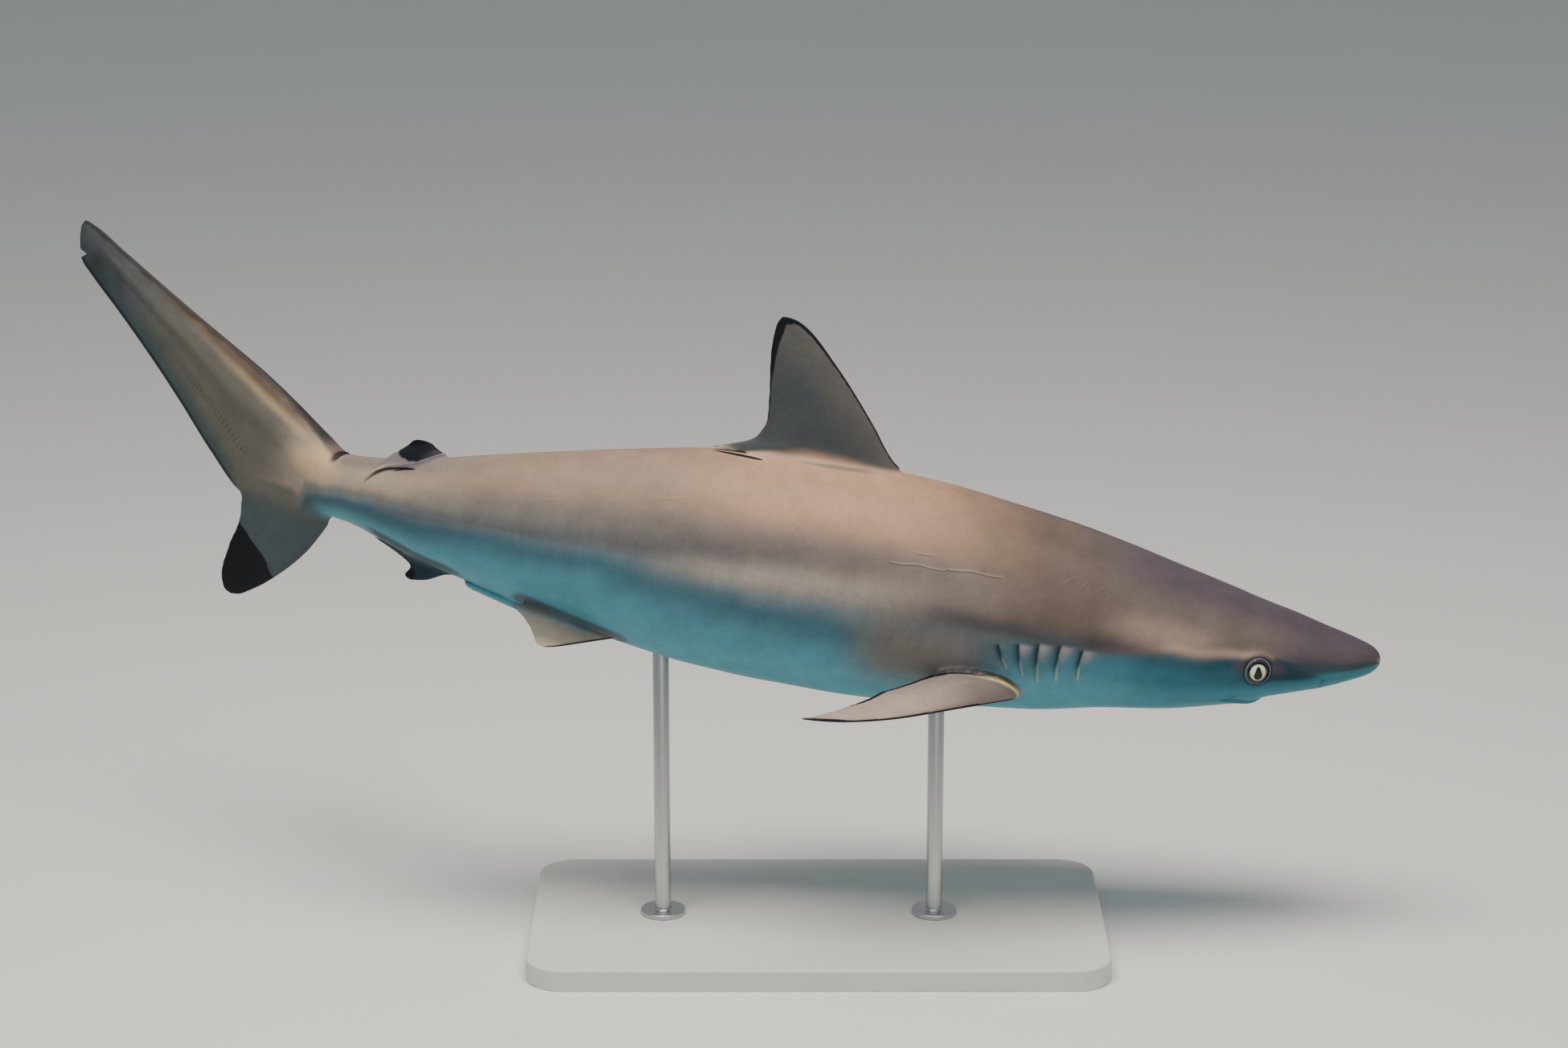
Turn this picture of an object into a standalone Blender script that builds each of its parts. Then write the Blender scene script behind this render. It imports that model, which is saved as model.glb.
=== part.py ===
"""A blacktip shark with the marks of a spot-tail shark: a still, life-size display model.

The shark swims to +X with its nose a little down, and its tail is swung to its left (+Y).
It is held by a flat base and two short rods.  The origin is at the middle of the base's
underside, +Z is up, and all lengths are in metres.

The body is first laid out straight, in the way that fish are measured: every length is a
fraction of TOTAL_LENGTH.  A straight point is (station, side, height): the station runs
back from the tip of the snout, the side is positive to the left, and the height is above
the line through the tip of the snout.  place() then bends, pitches and lifts it.
"""
import math
from collections import namedtuple

import bmesh
import bpy
import numpy as np
from mathutils import Matrix, Vector

# ---- driving sizes --------------------------------------------------------------------
TOTAL_LENGTH = 1.20        # snout tip to the tip of the upper tail lobe, along the spine
NOSE_DOWN = 8.87           # degrees that the body points down
NOSE_HEIGHT = 0.232        # of the snout's tip, above the floor
MODEL_REACH = 0.445        # from the middle of the base forward to the snout's tip
GAP = 0.0003               # between neighbouring solids

# How far the spine turns from the head's direction, in degrees, at each station.
SPINE_TURNS = ((0.00, 0), (0.48, 0), (0.55, 5), (0.61, 19), (0.67, 38),
               (0.74, 41), (0.80, 33), (0.90, 27), (1.05, 23))

# Cross-sections from the snout to the tail's tip, each as
# station, top, bottom, half width, widest level (0 bottom, 1 top), upper and lower fullness.
# A fullness of 2 is an ellipse, more is squarer, and 1 runs straight to a thin edge.
SECTIONS = (
    (0.000, -0.0005, -0.0005, 0.0000, 0.45, 2.0, 2.0),   # snout tip
    (0.005, 0.0077, -0.0087, 0.0080, 0.45, 2.0, 2.2),
    (0.020, 0.0130, -0.0151, 0.0180, 0.42, 2.0, 2.5),
    (0.040, 0.0180, -0.0222, 0.0265, 0.40, 2.0, 2.6),    # nostrils
    (0.060, 0.0233, -0.0278, 0.0335, 0.40, 2.0, 2.6),
    (0.075, 0.0266, -0.0328, 0.0380, 0.42, 2.0, 2.5),    # front of the mouth
    (0.085, 0.0290, -0.0388, 0.0405, 0.45, 2.0, 2.2),    # eyes
    (0.100, 0.0330, -0.0429, 0.0440, 0.46, 2.0, 2.1),
    (0.140, 0.0430, -0.0518, 0.0510, 0.46, 2.0, 2.1),
    (0.180, 0.0531, -0.0571, 0.0555, 0.46, 2.0, 2.1),
    (0.220, 0.0616, -0.0648, 0.0590, 0.47, 2.0, 2.1),    # gills
    (0.260, 0.0680, -0.0690, 0.0612, 0.48, 2.0, 2.1),
    (0.300, 0.0738, -0.0728, 0.0628, 0.48, 2.0, 2.1),
    (0.350, 0.0772, -0.0745, 0.0628, 0.49, 2.0, 2.1),    # deepest, under the first dorsal
    (0.400, 0.0775, -0.0738, 0.0595, 0.50, 2.0, 2.0),
    (0.450, 0.0748, -0.0702, 0.0540, 0.50, 2.0, 2.0),
    (0.500, 0.0672, -0.0624, 0.0465, 0.50, 2.0, 2.0),    # pelvic fins
    (0.550, 0.0572, -0.0518, 0.0385, 0.50, 2.0, 2.0),
    (0.600, 0.0450, -0.0415, 0.0305, 0.50, 2.0, 2.0),
    (0.650, 0.0305, -0.0348, 0.0235, 0.50, 2.0, 2.0),
    (0.700, 0.0172, -0.0298, 0.0185, 0.50, 2.0, 2.0),    # tail stem
    (0.720, 0.0140, -0.0312, 0.0168, 0.50, 2.0, 2.0),    # pits in front of the tail fin
    (0.740, 0.0215, -0.0345, 0.0140, 0.55, 1.9, 1.8),
    (0.770, 0.0345, -0.0385, 0.0112, 0.62, 1.8, 1.4),
    (0.800, 0.0475, -0.0425, 0.0090, 0.68, 1.7, 1.1),
    (0.810, 0.0515, -0.0400, 0.0084, 0.68, 1.7, 1.0),    # fork of the tail
    (0.840, 0.0630, -0.0182, 0.0068, 0.68, 1.7, 1.0),
    (0.870, 0.0752, 0.0090, 0.0056, 0.68, 1.7, 1.0),
    (0.900, 0.0885, 0.0352, 0.0046, 0.66, 1.7, 1.0),
    (0.930, 0.1023, 0.0600, 0.0036, 0.64, 1.7, 1.1),
    (0.955, 0.1140, 0.0800, 0.0028, 0.62, 1.8, 1.3),
    (0.964, 0.1162, 0.0890, 0.0022, 0.60, 2.0, 2.0),     # tip of the upper lobe
    (0.9668, 0.1125, 0.1010, 0.0010, 0.50, 2.0, 2.0),
)
EDGE = 0.0006              # half thickness of a fin's thin edge, as a fraction of the length

# Where the body is parted, and how many rings each length has.
SNOUT_START = 0.0004
GILLS_END = 0.262
TRUNK_END = 0.548
TAIL_FIN_START = 0.736
TAIL_TIP = 0.9667
BODY_LENGTHS = {
    "head": (SNOUT_START, GILLS_END, 22),
    "trunk": (GILLS_END, TRUNK_END, 13),
    "tail": (TRUNK_END, TAIL_FIN_START, 13),
    "caudal_fin_upper": (TAIL_FIN_START, TAIL_TIP, 16),
}

# ---- number of facets -------------------------------------------------------------------
AROUND = 28                # points round the body
FIN_CHORD = 9              # points from a fin's front edge to its rear edge


# ---- curves and placing -----------------------------------------------------------------
def smooth_curve(knots, values, where):
    """A smooth curve through (knots, values) that never overshoots them."""
    knots = np.asarray(knots, float)
    values = np.asarray(values, float)
    where = np.clip(np.asarray(where, float), knots[0], knots[-1])
    steps = np.diff(knots)
    slopes = np.diff(values) / steps
    tangents = np.empty_like(values)
    tangents[0] = slopes[0]
    tangents[-1] = slopes[-1]
    for i in range(1, len(values) - 1):
        before, after = slopes[i - 1], slopes[i]
        flat = before * after <= 0
        tangents[i] = 0.0 if flat else 2 * before * after / (before + after)
    i = np.clip(np.searchsorted(knots, where, side="right") - 1, 0, len(steps) - 1)
    t = (where - knots[i]) / steps[i]
    return ((1 + 2 * t) * (1 - t) ** 2 * values[i] + t * (1 - t) ** 2 * steps[i] * tangents[i]
            + t * t * (3 - 2 * t) * values[i + 1] + t * t * (t - 1) * steps[i] * tangents[i + 1])


def smooth_path(points, amount):
    """A point on the smooth path through the points, amount running from 0 to 1."""
    points = np.asarray(points, float)
    legs = np.linalg.norm(np.diff(points, axis=0), axis=1)
    knots = np.concatenate([[0.0], np.cumsum(legs)]) / legs.sum()
    return np.array([smooth_curve(knots, points[:, k], amount) for k in range(points.shape[1])]).T


def bent_spine(step=0.0005):
    """Stations along the spine, and where each lies after bending, seen from above."""
    stations = np.arange(0.0, 1.05 + step, step)
    turns = np.asarray(SPINE_TURNS, float)
    turn = np.radians(smooth_curve(turns[:, 0], turns[:, 1], stations))
    middle = (turn[1:] + turn[:-1]) / 2
    back = np.concatenate([[0.0], np.cumsum(np.cos(middle) * step)])
    left = np.concatenate([[0.0], np.cumsum(np.sin(middle) * step)])
    return stations, back, left, turn


SPINE = bent_spine()


def place(straight):
    """World positions in metres of straight points (station, side, height)."""
    straight = np.asarray(straight, float)
    station, side, height = straight[..., 0], straight[..., 1], straight[..., 2]
    stations, back, left, turn = SPINE
    angle = np.interp(station, stations, turn)
    x = -np.interp(station, stations, back) + side * np.sin(angle)
    y = np.interp(station, stations, left) + side * np.cos(angle)
    down = math.radians(NOSE_DOWN)
    forward = x * math.cos(down) + height * math.sin(down)
    up = -x * math.sin(down) + height * math.cos(down)
    world = np.stack([forward, y, up], -1) * TOTAL_LENGTH
    return world + np.array([MODEL_REACH, 0.0, NOSE_HEIGHT])


# ---- the body's surface ------------------------------------------------------------------
Section = namedtuple("Section", "top bottom half level upper lower")


def section(station):
    """The section at a station; its level is the height at which it is widest."""
    table = np.asarray(SECTIONS)
    knots = np.sqrt(table[:, 0])
    where = math.sqrt(station)
    top, bottom, half, widest, upper, lower = (
        float(smooth_curve(knots, table[:, k], where)) for k in range(1, 7))
    return Section(top, bottom, half, bottom + widest * (top - bottom), upper, lower)


def section_ring(station, count, proud=0.0):
    """Straight points round the body at a station, proud of the surface by that fraction."""
    here = section(station)
    ring = []
    for k in range(count):
        angle = 2 * math.pi * k / count
        across, up = math.cos(angle), math.sin(angle)
        fullness = here.upper if up >= 0 else here.lower
        reach = proud + (here.top - here.level if up >= 0 else here.level - here.bottom)
        side = max(0.0, here.half - EDGE) * abs(across) ** (2 / fullness)
        side += (min(EDGE, here.half) + proud) * abs(across) ** 0.5
        ring.append((station, math.copysign(side, across),
                     here.level + math.copysign(reach * abs(up) ** (2 / fullness), up)))
    return np.array(ring)


def underside(station, side):
    """The straight point on the underside of the body at this side distance."""
    here = section(station)
    share = (1 - min(1.0, abs(side) / here.half) ** here.lower) ** (1 / here.lower)
    return np.array([station, side, here.level - (here.level - here.bottom) * share])


def flank(station, height, hand):
    """The straight point on the flank at this height, hand being 1 on the left, -1 right."""
    here = section(station)
    above = height > here.level
    fullness = here.upper if above else here.lower
    reach = here.top - here.level if above else here.level - here.bottom
    share = (1 - min(1.0, abs(height - here.level) / reach) ** fullness) ** (1 / fullness)
    return np.array([station, hand * here.half * share, height])


# ---- making objects ------------------------------------------------------------------------
def clear_scene():
    for obj in list(bpy.data.objects):
        bpy.data.objects.remove(obj, do_unlink=True)


def new_collection(name):
    group = bpy.data.collections.new(name)
    bpy.context.scene.collection.children.link(group)
    return group


def new_material(name, colour, roughness, metallic=0.0):
    material = bpy.data.materials.new(name)
    material.use_nodes = True
    shader = material.node_tree.nodes["Principled BSDF"]
    shader.inputs["Base Color"].default_value = (*colour, 1.0)
    shader.inputs["Roughness"].default_value = roughness
    shader.inputs["Metallic"].default_value = metallic
    return material


def add_object(name, mesh, group, material=None, smooth_angle=40):
    obj = bpy.data.objects.new(name, mesh)
    group.objects.link(obj)
    if material is None:
        obj.hide_render = True
        obj.display_type = "WIRE"
        return obj
    mesh.materials.append(material)
    mesh.shade_smooth()
    mesh.set_sharp_from_angle(angle=math.radians(smooth_angle))
    return obj


def strip_cap(bm, loop):
    """Close a thin loop from side to side, whose first and middle points are its edges."""
    half = len(loop) // 2
    for k in range(half):
        corners = [loop[k], loop[k + 1], loop[(-k - 1) % len(loop)], loop[-k % len(loop)]]
        bm.faces.new(dict.fromkeys(corners))


def loft_mesh(name, rings, nose=None, thin=False):
    """A closed mesh of triangles through rings of world points.

    Its ends are flat faces, or a point in front for a nose, or strips where it is thin.
    """
    bm = bmesh.new()
    loops = [[bm.verts.new(p) for p in ring] for ring in rings]
    count = len(loops[0])
    for one, two in zip(loops, loops[1:]):
        for k in range(count):
            after = (k + 1) % count
            bm.faces.new((one[k], one[after], two[after]))
            bm.faces.new((one[k], two[after], two[k]))
    if thin:
        strip_cap(bm, loops[0])
        strip_cap(bm, loops[-1])
    else:
        bm.faces.new(loops[-1])
        if nose is None:
            bm.faces.new(loops[0])
    if nose is not None:
        tip = bm.verts.new(nose)
        for k in range(count):
            bm.faces.new((loops[0][k], loops[0][(k + 1) % count], tip))
    bmesh.ops.recalc_face_normals(bm, faces=bm.faces)
    if bm.calc_volume(signed=True) < 0:
        bmesh.ops.reverse_faces(bm, faces=bm.faces)
    mesh = bpy.data.meshes.new(name)
    bm.to_mesh(mesh)
    bm.free()
    return mesh


def cut_away(obj, cutter):
    modifier = obj.modifiers.new("cut " + cutter.name, "BOOLEAN")
    modifier.operation = "DIFFERENCE"
    modifier.object = cutter
    modifier.solver = "EXACT"


# ---- body pieces -----------------------------------------------------------------------------
def body_stations(name):
    """The stations of a length's rings, which stand closer together towards the snout."""
    start, end, rings = BODY_LENGTHS[name]
    return np.linspace(math.sqrt(start), math.sqrt(end), rings) ** 2


def body_loft(name, stations, group, material=None, proud=0.0):
    loops = [place(section_ring(s, AROUND, proud)) for s in stations]
    nose = place((-proud, 0.0, SECTIONS[0][1])) if stations[0] <= SNOUT_START else None
    return add_object(name, loft_mesh(name, loops, nose=nose), group, material)


def body_piece(name, group, material):
    """A length of the body, with half a gap left at each cut."""
    stations = body_stations(name)
    half_gap = GAP / 2 / TOTAL_LENGTH
    if name != "head":
        stations[0] += half_gap
    if name != "caudal_fin_upper":
        stations[-1] -= half_gap
    return body_loft(name, stations, group, material)


def body_clearance(group):
    """The whole body, a gap larger all round, that the fins are cut away with."""
    stations = np.unique(np.concatenate([body_stations(name) for name in BODY_LENGTHS]))
    return body_loft("body clearance", stations, group, proud=GAP / TOTAL_LENGTH)


def groove_cutter(name, path, outwards, width, depth, group):
    """A blade that cuts a groove along straight path points, outwards being their normals."""
    path = place(path)
    outwards = np.asarray(outwards, float)
    rings = []
    for k, point in enumerate(path):
        along = path[min(k + 1, len(path) - 1)] - path[max(k - 1, 0)]
        out = Vector(outwards[k]).normalized()
        across = Vector(along).cross(out).normalized() * (width / 2)
        base = Vector(point)
        rings.append([base + across + out * depth, base - across + out * depth,
                      base - across * 0.5 - out * depth, base + across * 0.5 - out * depth])
    return add_object(name, loft_mesh(name, rings), group)


GILL_SLITS = (             # station and height of the upper end, then of the lower end
    (0.2024, -0.0064, 0.2029, -0.0267),
    (0.2174, -0.0052, 0.2167, -0.0296),
    (0.2315, -0.0059, 0.2286, -0.0312),
    (0.2444, -0.0076, 0.2388, -0.0284),
    (0.2572, -0.0098, 0.2499, -0.0250),
)


SLIT_WIDTH = 0.0012        # metres
SLIT_DEPTH = 0.0022
SLIT_BOW = 0.0016          # how far a slit bows back, as a fraction of the length


def gill_cutters(hand, group):
    for k, (top_station, top, low_station, low) in enumerate(GILL_SLITS):
        path = []
        steps = np.linspace(0.0, 1.0, 4)
        for t in steps:
            bow = SLIT_BOW * math.sin(math.pi * t)
            station = top_station + t * (low_station - top_station) + bow
            path.append(flank(station, top + t * (low - top), hand))
        outwards = [(0.15, hand, -0.25 * t) for t in steps]
        side = "left" if hand > 0 else "right"
        yield groove_cutter(f"gill cutter {side} {k + 1}", path, outwards,
                            SLIT_WIDTH, SLIT_DEPTH, group)


MOUTH_FRONT = 0.0775       # station of the mouth's front
MOUTH_CORNER = 0.1085      # station of its corners
MOUTH_HALF_WIDTH = 0.0340
MOUTH_WIDTH = 0.0018       # metres, of the groove between the lips
MOUTH_DEPTH = 0.0030


def mouth_cutter(group):
    path = []
    for side in np.linspace(-MOUTH_HALF_WIDTH, MOUTH_HALF_WIDTH, 13):
        arch = (abs(side) / MOUTH_HALF_WIDTH) ** 2.3
        path.append(underside(MOUTH_FRONT + (MOUTH_CORNER - MOUTH_FRONT) * arch, side))
    outwards = [(0.25, p[1] / MOUTH_HALF_WIDTH * 0.9, -1.0) for p in path]
    return groove_cutter("mouth cutter", path, outwards, MOUTH_WIDTH, MOUTH_DEPTH, group)


NOSTRIL_OUTER = (0.0415, 0.0258)   # station and side of its outer end, under the snout
NOSTRIL_INNER = (0.0505, 0.0173)
NOSTRIL_WIDTH = 0.0026     # metres
NOSTRIL_DEPTH = 0.0026


def nostril_cutter(hand, group):
    stations = np.linspace(NOSTRIL_OUTER[0], NOSTRIL_INNER[0], 4)
    sides = np.linspace(NOSTRIL_OUTER[1], NOSTRIL_INNER[1], 4)
    path = [underside(station, hand * side) for station, side in zip(stations, sides)]
    outwards = [(0.0, hand * 0.6, -1.0)] * len(path)
    side = "left" if hand > 0 else "right"
    return groove_cutter(f"nostril cutter {side}", path, outwards,
                         NOSTRIL_WIDTH, NOSTRIL_DEPTH, group)


# ---- eyes -----------------------------------------------------------------------------------
EYE_STATION = 0.0858
EYE_HEIGHT = -0.0079
EYE_RADIUS = 0.0102        # metres, across the face of the eye
EYE_DEPTH = 0.0078         # metres, half the eyeball's depth
EYE_SUNK = 0.0050          # metres, its centre below the skin
EYE_AROUND = 14            # facets round an eyeball
EYE_RINGS = 9


def eye_frame(hand):
    """The matrix of an eyeball: its z axis looks out of the head."""
    def skin(back, up):
        return Vector(place(flank(EYE_STATION + back, EYE_HEIGHT + up, hand)))

    around = 0.007         # how far from the eye's middle the lie of the skin is taken
    ahead, behind = skin(-around, 0.0), skin(around, 0.0)
    above, below = skin(0.0, around), skin(0.0, -around)
    forward = (ahead - behind).normalized()
    out = forward.cross(above - below).normalized()
    if out.y * hand < 0:
        out = -out
    turn = Matrix((forward, out.cross(forward), out)).transposed().to_4x4()
    return Matrix.Translation(skin(0.0, 0.0) - out * EYE_SUNK) @ turn


def eyeball(name, hand, extra, group, material=None):
    bm = bmesh.new()
    size = Matrix.Diagonal((EYE_RADIUS + extra, EYE_RADIUS + extra, EYE_DEPTH + extra, 1.0))
    bmesh.ops.create_uvsphere(bm, u_segments=EYE_AROUND, v_segments=EYE_RINGS, radius=1.0,
                              matrix=eye_frame(hand) @ size)
    mesh = bpy.data.meshes.new(name)
    bm.to_mesh(mesh)
    bm.free()
    return add_object(name, mesh, group, material, smooth_angle=180)


# ---- fins -----------------------------------------------------------------------------------
class FinPlane:
    """Where a flat fin stands: its root, how it leans out, and how its chord rises."""

    def __init__(self, root=(0.0, 0.0, 0.0), hand=0, droop=0.0, rise=0.0):
        self.root = np.asarray(root, float)
        if hand == 0:
            self.out = np.array([0.0, 0.0, 1.0])
            self.flat = np.array([0.0, 1.0, 0.0])
        else:
            slope = math.radians(droop)
            self.out = np.array([0.0, hand * math.cos(slope), -math.sin(slope)])
            self.flat = np.array([0.0, hand * math.sin(slope), math.cos(slope)])
        self.chord = np.array([1.0, 0.0, math.tan(math.radians(rise))])

    def point(self, back, out, thick):
        return self.root + back * self.chord + out * self.out + thick * self.flat


def fin_rings(plane, front, rear, thickness, insertion, dip, ribs, chord_points, warp=None):
    """Rings of straight points for a fin, rib by rib from its root to its tip.

    front and rear are (back, out) points of the front and rear edges, root first.  The
    first ribs dip into the body as far back as the insertion, a share of the root chord;
    behind it the rear corner of the fin hangs free.
    """
    shares = (1 - np.cos(np.linspace(0.0, math.pi, chord_points))) / 2
    rings = []
    for t in np.linspace(0.0, 1.0, ribs) ** 1.15:
        lead, tail = smooth_path(front, t), smooth_path(rear, t)
        fade = max(0.0, 1 - t / 0.10) ** 2
        sides = []
        for c in shares:
            point = lead + c * (tail - lead)
            sunk = fade * dip * min(1.0, max(0.0, (insertion - c) / 0.06 + 1.0))
            body = 2.49 * c ** 0.5 * (1 - c) ** 0.9
            edge = min(1.0, min(c, 1 - c) / 0.03) ** 0.5
            half = thickness * (1 - t) ** 0.8 * body + EDGE * edge * (1 - 0.5 * t)
            sides.append((point[0], point[1] - sunk, half))
        ring = [plane.point(b, o, h) for b, o, h in sides]
        ring += [plane.point(b, o, -h) for b, o, h in sides[-2:0:-1]]
        ring = np.array(ring)
        rings.append(warp(ring) if warp else ring)
    return rings


def fin(name, plane, front, rear, group, material, clearance,
        thickness=0.004, insertion=0.7, dip=0.01, ribs=12, warp=None):
    rings = fin_rings(plane, front, rear, thickness, insertion, dip, ribs, FIN_CHORD, warp)
    tip = plane.point(*((np.asarray(front[-1]) + np.asarray(rear[-1])) / 2), 0.0)
    if warp:
        tip = warp(tip[None, :])[0]
    last = rings[-1]
    rings[-1] = last + (tip - last) * 0.35
    mesh = loft_mesh(name, [place(ring) for ring in rings], thin=True)
    obj = add_object(name, mesh, group, material, smooth_angle=60)
    cut_away(obj, clearance)
    return obj


# Front and rear edges as (station, height), from the root to the tip.
FIRST_DORSAL_FRONT = ((0.334, 0.0776), (0.3545, 0.1042), (0.3872, 0.1430), (0.4110, 0.1652),
                      (0.4225, 0.1700))
FIRST_DORSAL_REAR = ((0.4575, 0.0760), (0.4451, 0.0805), (0.4303, 0.0871), (0.4248, 0.1006),
                     (0.4279, 0.1326), (0.4293, 0.1485), (0.4282, 0.1670))
SECOND_DORSAL_FRONT = ((0.628, 0.0370), (0.638, 0.0412), (0.648, 0.0428), (0.6545, 0.0422))
SECOND_DORSAL_REAR = ((0.694, 0.0220), (0.680, 0.0254), (0.670, 0.0285), (0.665, 0.0340),
                      (0.660, 0.0395))
ANAL_FRONT = ((0.607, -0.0392), (0.619, -0.0418), (0.634, -0.0495), (0.647, -0.0530))
ANAL_REAR = ((0.682, -0.0335), (0.666, -0.0366), (0.652, -0.0398), (0.6475, -0.0440),
             (0.6520, -0.0510))
TAIL_LOWER_FRONT = ((0.722, -0.0320), (0.7443, -0.0640), (0.7785, -0.0965), (0.802, -0.1130))
TAIL_LOWER_REAR = ((0.8090, -0.0420), (0.8078, -0.0560), (0.8145, -0.0800), (0.8182, -0.1000),
                   (0.8140, -0.1130))


WRAP_START = 0.662         # where the second dorsal fin's rear starts to lie over
WRAP_LENGTH = 0.032        # how soon it lies flat
WRAP_TURN = 80             # degrees round the body at its rear tip


def wrap_over_flank(ring):
    """Lay the long free rear tip of the second dorsal fin over the right flank."""
    wrapped = ring.copy()
    for k, (station, side, height) in enumerate(ring):
        amount = min(1.0, max(0.0, (station - WRAP_START) / WRAP_LENGTH))
        angle = math.radians(WRAP_TURN) * amount ** 1.2
        body = section(station)
        out = (height - body.level) / (body.top - body.level)
        wrapped[k, 1] = side * math.cos(angle) - body.half * out * math.sin(angle)
        wrapped[k, 2] = (body.level + (height - body.level) * math.cos(angle)
                         + side * math.sin(angle))
    return wrapped


def median_fins(group, skin, dark, clearance):
    middle = FinPlane()
    fin("first_dorsal_fin", middle, FIRST_DORSAL_FRONT, FIRST_DORSAL_REAR, group, skin,
        clearance, thickness=0.0058, insertion=0.73, dip=0.012, ribs=14)
    fin("second_dorsal_fin", middle, SECOND_DORSAL_FRONT, SECOND_DORSAL_REAR, group, dark,
        clearance, thickness=0.0026, insertion=0.45, dip=0.010, ribs=9, warp=wrap_over_flank)
    fin("anal_fin", middle, ANAL_FRONT, ANAL_REAR, group, skin,
        clearance, thickness=0.0026, insertion=0.55, dip=-0.010, ribs=9)
    fin("caudal_fin_lower", middle, TAIL_LOWER_FRONT, TAIL_LOWER_REAR, group, dark,
        clearance, thickness=0.0046, insertion=1.2, dip=-0.012, ribs=9)


# Paired fins, as (back, out) from the plane's root.
PECTORAL_FRONT = ((0.000, 0.000), (0.040, 0.029), (0.092, 0.065), (0.123, 0.0790),
                  (0.142, 0.0838))
PECTORAL_REAR = ((0.094, 0.030), (0.100, 0.039), (0.118, 0.060), (0.134, 0.0755),
                 (0.1455, 0.0838))
PELVIC_FRONT = ((0.000, 0.000), (0.020, 0.013), (0.038, 0.0250), (0.0455, 0.0292))
PELVIC_REAR = ((0.072, 0.0045), (0.064, 0.0095), (0.056, 0.0180), (0.0505, 0.0285))


def paired_fins(hand, group, skin, clearance):
    side = "left" if hand > 0 else "right"
    pectoral = FinPlane(root=(0.2345, hand * 0.0500, -0.0448), hand=hand, droop=10, rise=2)
    fin(f"pectoral_fin_{side}", pectoral, PECTORAL_FRONT, PECTORAL_REAR, group, skin,
        clearance, thickness=0.0042, insertion=0.55, dip=0.020, ribs=14)
    pelvic = FinPlane(root=(0.497, hand * 0.0200, -0.0545), hand=hand, droop=33, rise=10.5)
    fin(f"pelvic_fin_{side}", pelvic, PELVIC_FRONT, PELVIC_REAR, group, skin,
        clearance, thickness=0.0026, insertion=0.62, dip=0.010, ribs=9)


CLASPER_START = 0.560
CLASPER_END = 0.6025
CLASPER_SIDE = 0.0090
CLASPER_RADIUS = 0.0042
CLASPER_DROP = 0.0008      # its middle line below the belly


def clasper(hand, group, skin, clearance):
    """A tapered rod under the belly, from the pelvic fin's inner edge to its blunt end."""
    side = "left" if hand > 0 else "right"
    rings = []
    for t in np.linspace(0.0, 1.0, 9):
        station = CLASPER_START + t * (CLASPER_END - CLASPER_START)
        middle = underside(station, hand * CLASPER_SIDE) - np.array([0.0, 0.0, CLASPER_DROP])
        radius = CLASPER_RADIUS * (1 - 0.25 * t) * (1 - max(0.0, t - 0.8) ** 2 * 12)
        rings.append(np.array([middle + radius * np.array([0.0, math.cos(a), math.sin(a)])
                               for a in np.linspace(0.0, 2 * math.pi, 13)[:-1]]))
    name = f"clasper_{side}"
    mesh = loft_mesh(name, [place(ring) for ring in rings])
    obj = add_object(name, mesh, group, skin, smooth_angle=60)
    cut_away(obj, clearance)


# ---- stand ----------------------------------------------------------------------------------
BASE_LENGTH = 0.46
BASE_DEPTH = 0.24
BASE_THICKNESS = 0.018
BASE_CORNER = 0.030
BASE_RIM = 0.002           # rounding of its upper edge
ROD_RADIUS = 0.0065
ROD_STATIONS = {"front": 0.285, "rear": 0.470}
ROD_INTO_BODY = 0.012      # how far a rod runs into its socket
ROD_ROUNDING = 0.001       # of its edges and its flange's
SOCKET_LENGTH = 0.06       # of the cutter, which reaches out below the belly
TURNED_STEPS = 16
FLANGE_RADIUS = 0.018
FLANGE_HEIGHT = 0.004


def rod_place(station):
    """Floor position of a rod under the belly at a station, and the height of its top."""
    foot = place(underside(station, 0.0))
    return foot[0], foot[1], foot[2] + ROD_INTO_BODY


def stand_base(group, material):
    bm = bmesh.new()
    bmesh.ops.create_cube(bm, size=1.0)
    bmesh.ops.scale(bm, vec=(BASE_LENGTH, BASE_DEPTH, BASE_THICKNESS), verts=bm.verts)
    bmesh.ops.translate(bm, vec=(0.0, 0.0, BASE_THICKNESS / 2), verts=bm.verts)
    upright = [e for e in bm.edges if abs(e.verts[0].co.z - e.verts[1].co.z) > BASE_THICKNESS / 2]
    bmesh.ops.bevel(bm, geom=upright, offset=BASE_CORNER, segments=8, profile=0.5,
                    affect="EDGES")
    rim = [e for e in bm.edges if min(v.co.z for v in e.verts) > BASE_THICKNESS - 1e-6]
    bmesh.ops.bevel(bm, geom=rim, offset=BASE_RIM, segments=2, profile=0.5, affect="EDGES")
    mesh = bpy.data.meshes.new("stand_base")
    bm.to_mesh(mesh)
    bm.free()
    add_object("stand_base", mesh, group, material)


def turned(name, outline, x, y, group, material=None):
    """A turned piece: the outline is (radius, height) down its outer side, top to bottom."""
    bm = bmesh.new()
    points = [bm.verts.new((radius, 0.0, height)) for radius, height in outline]
    for one, two in zip(points, points[1:]):
        bm.edges.new((one, two))
    mesh = bpy.data.meshes.new(name)
    bm.to_mesh(mesh)
    bm.free()
    obj = add_object(name, mesh, group, material)
    obj.location = (x, y, 0.0)
    screw = obj.modifiers.new("turn", "SCREW")
    screw.steps = TURNED_STEPS
    screw.render_steps = TURNED_STEPS
    screw.use_merge_vertices = True
    screw.merge_threshold = 0.00005
    screw.use_smooth_shade = True
    return obj


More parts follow.
